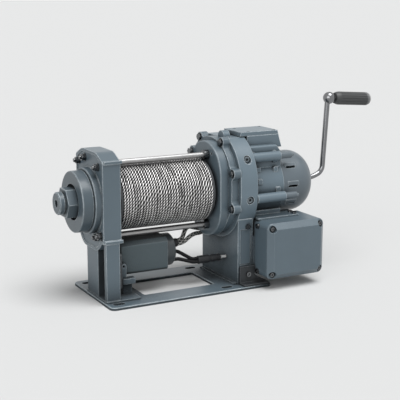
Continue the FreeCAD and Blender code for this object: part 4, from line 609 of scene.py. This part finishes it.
# %% [markdown]
# ## Rope steel
# Wire rope is bright where rubbing wears it and black with grease in the grooves; the dark grooves here are
# also painted shade, between the strands and between the turns. A striped image would slide over the
# strands, so the geometry tree keeps two values on each point: the crest, how near it is to the top of its
# strand, and the rise, how near it is to the outside of its turn. The steel is bright where both are high.
# Streaks along the turns make some of them duller, and painted shade darkens the side that faces other
# pieces.

# %% Rope steel
# The dark of the grooves is grease and painted shade.
ROPE_GREASE_AND_SHADE = (0.006, 0.006, 0.007)
ROPE_BRIGHT = (0.92, 0.91, 0.90)
ROPE_METALLIC, ROPE_ROUGH = 0.7, 0.42
CREST_BAND, RISE_BAND = (0.5, 1.0), (0.2, 0.7)
STREAK_GRAIN, STREAK_STRETCH = 170.0, (1, 0.12, 0.12)
# Noise from low to high, and how bright the turns are there.
STREAK_BAND = (0.35, 0.55, 0.55, 1.3)
# Painted shade on the side of the rope that faces other pieces: how far round a spot is felt, openness
# from low to high, and how bright the rope is there.
ROPE_SHADE = (160.0 * MM, 0.3, 0.72, 0.15, 1.08)


def kept_value(tree, name):
    """The value that a geometry tree kept on the points, for a material."""
    return add_node(tree, "ShaderNodeAttribute", attribute_name=name).outputs["Fac"]


rope_steel, tree, shader = start_material("rope_wire")
on_strand = mapped(tree, kept_value(tree, "crest"), *CREST_BAND, kind="SMOOTHSTEP")
on_turn = mapped(tree, kept_value(tree, "rise"), *RISE_BAND, kind="SMOOTHSTEP")
streaks = mapped(tree, noise(tree, STREAK_GRAIN, detail=2.0, stretch=STREAK_STRETCH), *STREAK_BAND)
# Bright on the crests, dark in the grooves: wear and grease, with painted shade between strands and turns.
wear_and_painted_light = maths(tree, "MULTIPLY", maths(tree, "MULTIPLY", on_strand, on_turn), streaks)
# Painted shade on the side that faces other pieces.
wear_and_painted_light = maths(tree, "MULTIPLY", wear_and_painted_light, open_share(tree, *ROPE_SHADE))
tree.links.new(blend(tree, wear_and_painted_light, ROPE_GREASE_AND_SHADE, ROPE_BRIGHT), shader.inputs["Base Color"])
shader.inputs["Metallic"].default_value = ROPE_METALLIC
shader.inputs["Roughness"].default_value = ROPE_ROUGH
print("rope steel with", len(tree.nodes), "nodes")

# %% [markdown]
# ## Path of the rope
# The rope lies on the drum in touching turns. Each turn runs parallel to the drum's ends for most of the
# way round and crosses over to the next one in a short stretch. A plain spiral would climb all the way, so
# its height is rewritten: flat steps with a short smooth ramp between them. Blender's spiral stands upright,
# so the tree works with the drum's axis along Z, and the finished mesh is laid along the drum at the end.

# %% Rope sizes and inputs
ROPE_TURNS = 33
ROPE_THICK = 6.2 * MM
ROPE_LAY = 21.072 * MM
STRAND_DEPTH = 0.42
LAY_SLACK = 1.2
rope_low, rope_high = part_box("wire_rope")
rope_pitch = (rope_high.x - rope_low.x) / ROPE_TURNS
rope_radius = (rope_high.z - rope_low.z) / 2 - ROPE_THICK / 2
axis_height = (rope_low.z + rope_high.z) / 2

tree, sizes = new_tree("wound_rope", {
    "Turns": ROPE_TURNS, "Radius": rope_radius, "Pitch": rope_pitch, "Thick": ROPE_THICK, "Lay": ROPE_LAY,
    "Strand Depth": STRAND_DEPTH, "Slack": LAY_SLACK})
link = tree.links.new
print("rope pitch", round(rope_pitch / MM, 2), "mm, radius", round(rope_radius / MM, 1), "mm")

# %% Rope path
STEPS_PER_TURN = 236
MID_TURN = 0.5
CROSSOVER = 0.07
spiral = add_node(tree, "GeometryNodeCurveSpiral", Resolution=STEPS_PER_TURN)
link(sizes["Turns"], spiral.inputs["Rotations"])
link(sizes["Radius"], spiral.inputs["Start Radius"])
link(sizes["Radius"], spiral.inputs["End Radius"])
link(maths(tree, "MULTIPLY", sizes["Turns"], sizes["Pitch"]), spiral.inputs["Height"])
spot = position(tree)
turned = maths(tree, "ADD", maths(tree, "DIVIDE", spot["Z"], sizes["Pitch"]), MID_TURN)
part = maths(tree, "FRACT", turned)
ramp = mapped(tree, part, MID_TURN - CROSSOVER, MID_TURN + CROSSOVER, kind="SMOOTHSTEP")
row = maths(tree, "SUBTRACT", maths(tree, "ADD", maths(tree, "FLOOR", turned), ramp), 1)
row = maths(tree, "MINIMUM", maths(tree, "MAXIMUM", row, 0), ROPE_TURNS - 1)
stepped = add_node(tree, "ShaderNodeCombineXYZ")
link(spot["X"], stepped.inputs["X"])
link(spot["Y"], stepped.inputs["Y"])
link(maths(tree, "MULTIPLY", row, sizes["Pitch"]), stepped.inputs["Z"])
winding = moved(tree, spiral.outputs["Curve"], stepped.outputs["Vector"])
print("rope path", round(math.tau * rope_radius * ROPE_TURNS, 1), "m long in", ROPE_TURNS, "turns")

# %% [markdown]
# ## Strands of the rope
# Strands are laid round each other. Each could be a tube of its own, but three twisted tubes per rope have
# many hidden faces. One tube shows the same from outside: its section is a circle drawn in between the
# strands, and a tilt that grows along the path turns the section, so that the lobes wind round. Three
# strands at this lay give strokes as far apart as those in the photograph. A little noise in the tilt keeps
# the strokes from lining up like print.

# %% Rope twist
SLACK_GRAIN = 22.0
NOISE_MIDDLE = 0.5
along = add_node(tree, "GeometryNodeSplineParameter").outputs["Length"]
uneven = add_node(tree, "ShaderNodeTexNoise", Scale=SLACK_GRAIN, Detail=1.0).outputs["Fac"]
slack = maths(tree, "MULTIPLY", maths(tree, "SUBTRACT", uneven, NOISE_MIDDLE), sizes["Slack"])
lays = maths(tree, "ADD", maths(tree, "DIVIDE", along, sizes["Lay"]), slack)
tilt = add_node(tree, "GeometryNodeSetCurveTilt")
link(winding, tilt.inputs["Curve"])
link(maths(tree, "MULTIPLY", lays, math.tau), tilt.inputs["Tilt"])
print("rope twist", round(math.tau * rope_radius / ROPE_LAY, 1), "lays in a turn")

# %% Rope section
ROPE_STRANDS = 3
STRAND_POINTS = 4
half_thick = maths(tree, "MULTIPLY", sizes["Thick"], 0.5)
circle = add_node(tree, "GeometryNodeCurvePrimitiveCircle", Resolution=ROPE_STRANDS * STRAND_POINTS)
link(half_thick, circle.inputs["Radius"])
around = add_node(tree, "GeometryNodeSplineParameter").outputs["Factor"]
half_waves = maths(tree, "MULTIPLY", around, math.pi * ROPE_STRANDS)
crest = maths(tree, "ABSOLUTE", maths(tree, "COSINE", half_waves))
sunk = maths(tree, "MULTIPLY", maths(tree, "SUBTRACT", 1, crest), sizes["Strand Depth"])
lobes = add_node(tree, "ShaderNodeVectorMath", operation="SCALE")
link(add_node(tree, "GeometryNodeInputPosition").outputs["Position"], lobes.inputs[0])
link(maths(tree, "SUBTRACT", 1, sunk), lobes.inputs["Scale"])
section = moved(tree, keep(tree, circle.outputs["Curve"], "crest", crest), lobes.outputs["Vector"])
print("rope section", ROPE_STRANDS, "strands of", STRAND_POINTS, "points")

# %% Rope tube
strands = swept(tree, tilt.outputs["Curve"], section)
spot = position(tree)
squares = [maths(tree, "MULTIPLY", spot[axis], spot[axis]) for axis in ("X", "Y")]
reach = maths(tree, "SUBTRACT", maths(tree, "SQRT", maths(tree, "ADD", *squares)), sizes["Radius"])
rise = maths(tree, "DIVIDE", reach, half_thick)
end_tree(tree, keep(tree, strands, "rise", rise), rope_steel)

rope = plain_mesh("wound_rope", tree)
for vertex in rope.data.vertices:
    back, up, across = vertex.co
    vertex.co = (rope_low.x + rope_pitch / 2 + across, back, axis_height + up)
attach(rope, "drum_unit")
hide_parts("wire_rope")
print("rope", len(rope.data.polygons), "faces,", ROPE_TURNS, "turns")

# %% [markdown]
# ## Rope bed
# Behind the outer turns lies the dark, greased bulk of the lower layers, seen only in the grooves. More
# layers of rope would be many faces that nobody sees, so a plain sleeve of many sides stands for them. It
# is drawn as a small rectangle that is taken round the drum's axis, with its last side joined to its first.

# %% Rope bed section
BED_WALL = 2.0 * MM
BED_SINK = 0.3 * ROPE_THICK
bed_radius = rope_radius - BED_SINK
bed_inset = rope_pitch / 4
bed_left, bed_right = rope_low.x + bed_inset, rope_high.x - bed_inset
bed_section = [(bed_left, bed_radius), (bed_right, bed_radius),
               (bed_right, bed_radius - BED_WALL), (bed_left, bed_radius - BED_WALL)]
print("rope bed", round((bed_right - bed_left) / MM, 1), "mm long, radius", round(bed_radius / MM, 1), "mm")

# %% Rope bed sleeve
BED_SIDES = 64
SHARP_TURN = math.radians(40)
BED_BLACK = (0.012, 0.012, 0.013)
count = len(bed_section)
corners, faces = [], []
for step in range(BED_SIDES):
    angle = math.tau * step / BED_SIDES
    for across, radius in bed_section:
        corners.append((across, radius * math.cos(angle), axis_height + radius * math.sin(angle)))
    near, after = count * step, count * ((step + 1) % BED_SIDES)
    for corner in range(count):
        following = (corner + 1) % count
        faces.append((near + corner, after + corner, after + following, near + following))
bed_mesh = bpy.data.meshes.new("rope_bed")
bed_mesh.from_pydata(corners, [], faces)
bed_mesh.shade_smooth()
bed_mesh.set_sharp_from_angle(angle=SHARP_TURN)
bed_grease = moulded("rope_grease", BED_BLACK, roughness=0.55, grain=300.0, strength=0.1)
bed_mesh.materials.append(bed_grease)
bed = bpy.data.objects.new("rope_bed", bed_mesh)
scene.collection.objects.link(bed)
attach(bed, "drum_unit")
print("rope bed", len(faces), "faces")

# %% [markdown]
# ## Braid
# Two cables in a black and white braid run from the contactor to the right pedestal. Threads could be
# modelled one by one, but at this size they are thinner than a pixel. So the tube keeps how far each point
# lies along the cable, and the cosine and sine of its place round it, which have no seam as the angle
# itself would. The material turns these into two sets of waves that wind opposite ways, and the white
# threads are their crests.

# %% Braid threads
THREADS = 4
THREAD_STEP = 13.0 * MM
THREAD_EDGE = (0.72, 0.86)
BRAID_BLACK, BRAID_WHITE = (0.012, 0.012, 0.013), (0.50, 0.50, 0.48)
BRAID_ROUGH = 0.7
WEAVE_STRENGTH, WEAVE_DEPTH = 0.5, 0.4 * MM
braid, tree, shader = start_material("braid")
angle = maths(tree, "ARCTAN2", kept_value(tree, "upward"), kept_value(tree, "across"))
turns = maths(tree, "MULTIPLY", angle, THREADS)
steps = maths(tree, "MULTIPLY", kept_value(tree, "along"), math.tau / THREAD_STEP)
waves = [maths(tree, "SINE", maths(tree, way, turns, steps)) for way in ("ADD", "SUBTRACT")]
thread = maths(tree, "MAXIMUM", *waves)
white = mapped(tree, thread, *THREAD_EDGE)
tree.links.new(blend(tree, white, BRAID_BLACK, BRAID_WHITE), shader.inputs["Base Color"])
shader.inputs["Roughness"].default_value = BRAID_ROUGH
tree.links.new(bumped(tree, thread, WEAVE_STRENGTH, WEAVE_DEPTH), shader.inputs["Normal"])
print("braid of", THREADS, "threads each way")

# %% Cable tree
BRAID_RADIUS = 4.6 * MM
CABLE_SIDES = 16
tree, sizes = new_tree("cable_tube", {"Radius": BRAID_RADIUS})
link = tree.links.new
path = add_node(tree, "GeometryNodeMeshToCurve")
link(sizes["Geometry"], path.inputs["Mesh"])
length = add_node(tree, "GeometryNodeSplineParameter").outputs["Length"]
line = keep(tree, path.outputs["Curve"], "along", length)
circle = add_node(tree, "GeometryNodeCurvePrimitiveCircle", Resolution=CABLE_SIDES)
link(sizes["Radius"], circle.inputs["Radius"])
around = add_node(tree, "GeometryNodeSplineParameter").outputs["Factor"]
angle = maths(tree, "MULTIPLY", around, math.tau)
ring = keep(tree, circle.outputs["Curve"], "across", maths(tree, "COSINE", angle))
ring = keep(tree, ring, "upward", maths(tree, "SINE", angle))
end_tree(tree, swept(tree, line, ring), braid)
print("cable tree with", len(tree.nodes), "nodes")

# %% [markdown]
# ## Braided cables
# A cable leaves the gland straight, rises in a low arch, bends to the back and goes into the right pedestal
# behind the flange. Straight runs with rounded corners would look like bent wire. A NURBS spline is only
# pulled towards the corners of its route, so it bends all along, as a stiff cable does. Its points are read
# off as a line of edges, and the cable tree draws the braid round that line.

# %% Cable routes in millimetres
CABLE_ROUTES = {
    "braided_cable_upper": [(10, 4.2, 98.2), (26, 4.2, 98.2), (39, 16, 118), (57, 32, 120), (78, 51, 111),
                            (106, 68, 101), (123, 68, 101)],
    "braided_cable_lower": [(10, -4.2, 93.8), (24, -4.2, 93.8), (44, 1, 106), (64, 14, 107), (85, 34, 101),
                            (106, 54, 98), (123, 54, 98)],
}
print(len(CABLE_ROUTES), "routes of", [len(route) for route in CABLE_ROUTES.values()], "points")

# %% Smooth path
SPLINE_ORDER = 3
SPLINE_STEPS = 10


def smooth_path(name, route):
    """The points of a smooth spline along a route, as a mesh of edges.

    The order is set after the points, because set before them it leaves straight runs.
    """
    curve = bpy.data.curves.new(name, "CURVE")
    curve.dimensions = "3D"
    spline = curve.splines.new("NURBS")
    spline.points.add(len(route) - 1)
    for point, corner in zip(spline.points, route):
        point.co = (*(MM * value for value in corner), 1.0)
    spline.order_u = SPLINE_ORDER
    spline.use_endpoint_u = True
    spline.resolution_u = SPLINE_STEPS
    holder = bpy.data.objects.new(name, curve)
    scene.collection.objects.link(holder)
    graph = bpy.context.evaluated_depsgraph_get()
    mesh = bpy.data.meshes.new_from_object(holder.evaluated_get(graph))
    bpy.data.objects.remove(holder)
    return mesh


print("splines of order", SPLINE_ORDER, "with", SPLINE_STEPS, "steps between points")

# %% Braided cables
for node_name, route in CABLE_ROUTES.items():
    cable = plain_mesh(node_name + "_braid", tree, smooth_path(node_name + "_path", route))
    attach(cable, "frame")
    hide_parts(node_name)
    print(node_name, len(cable.data.polygons), "faces")
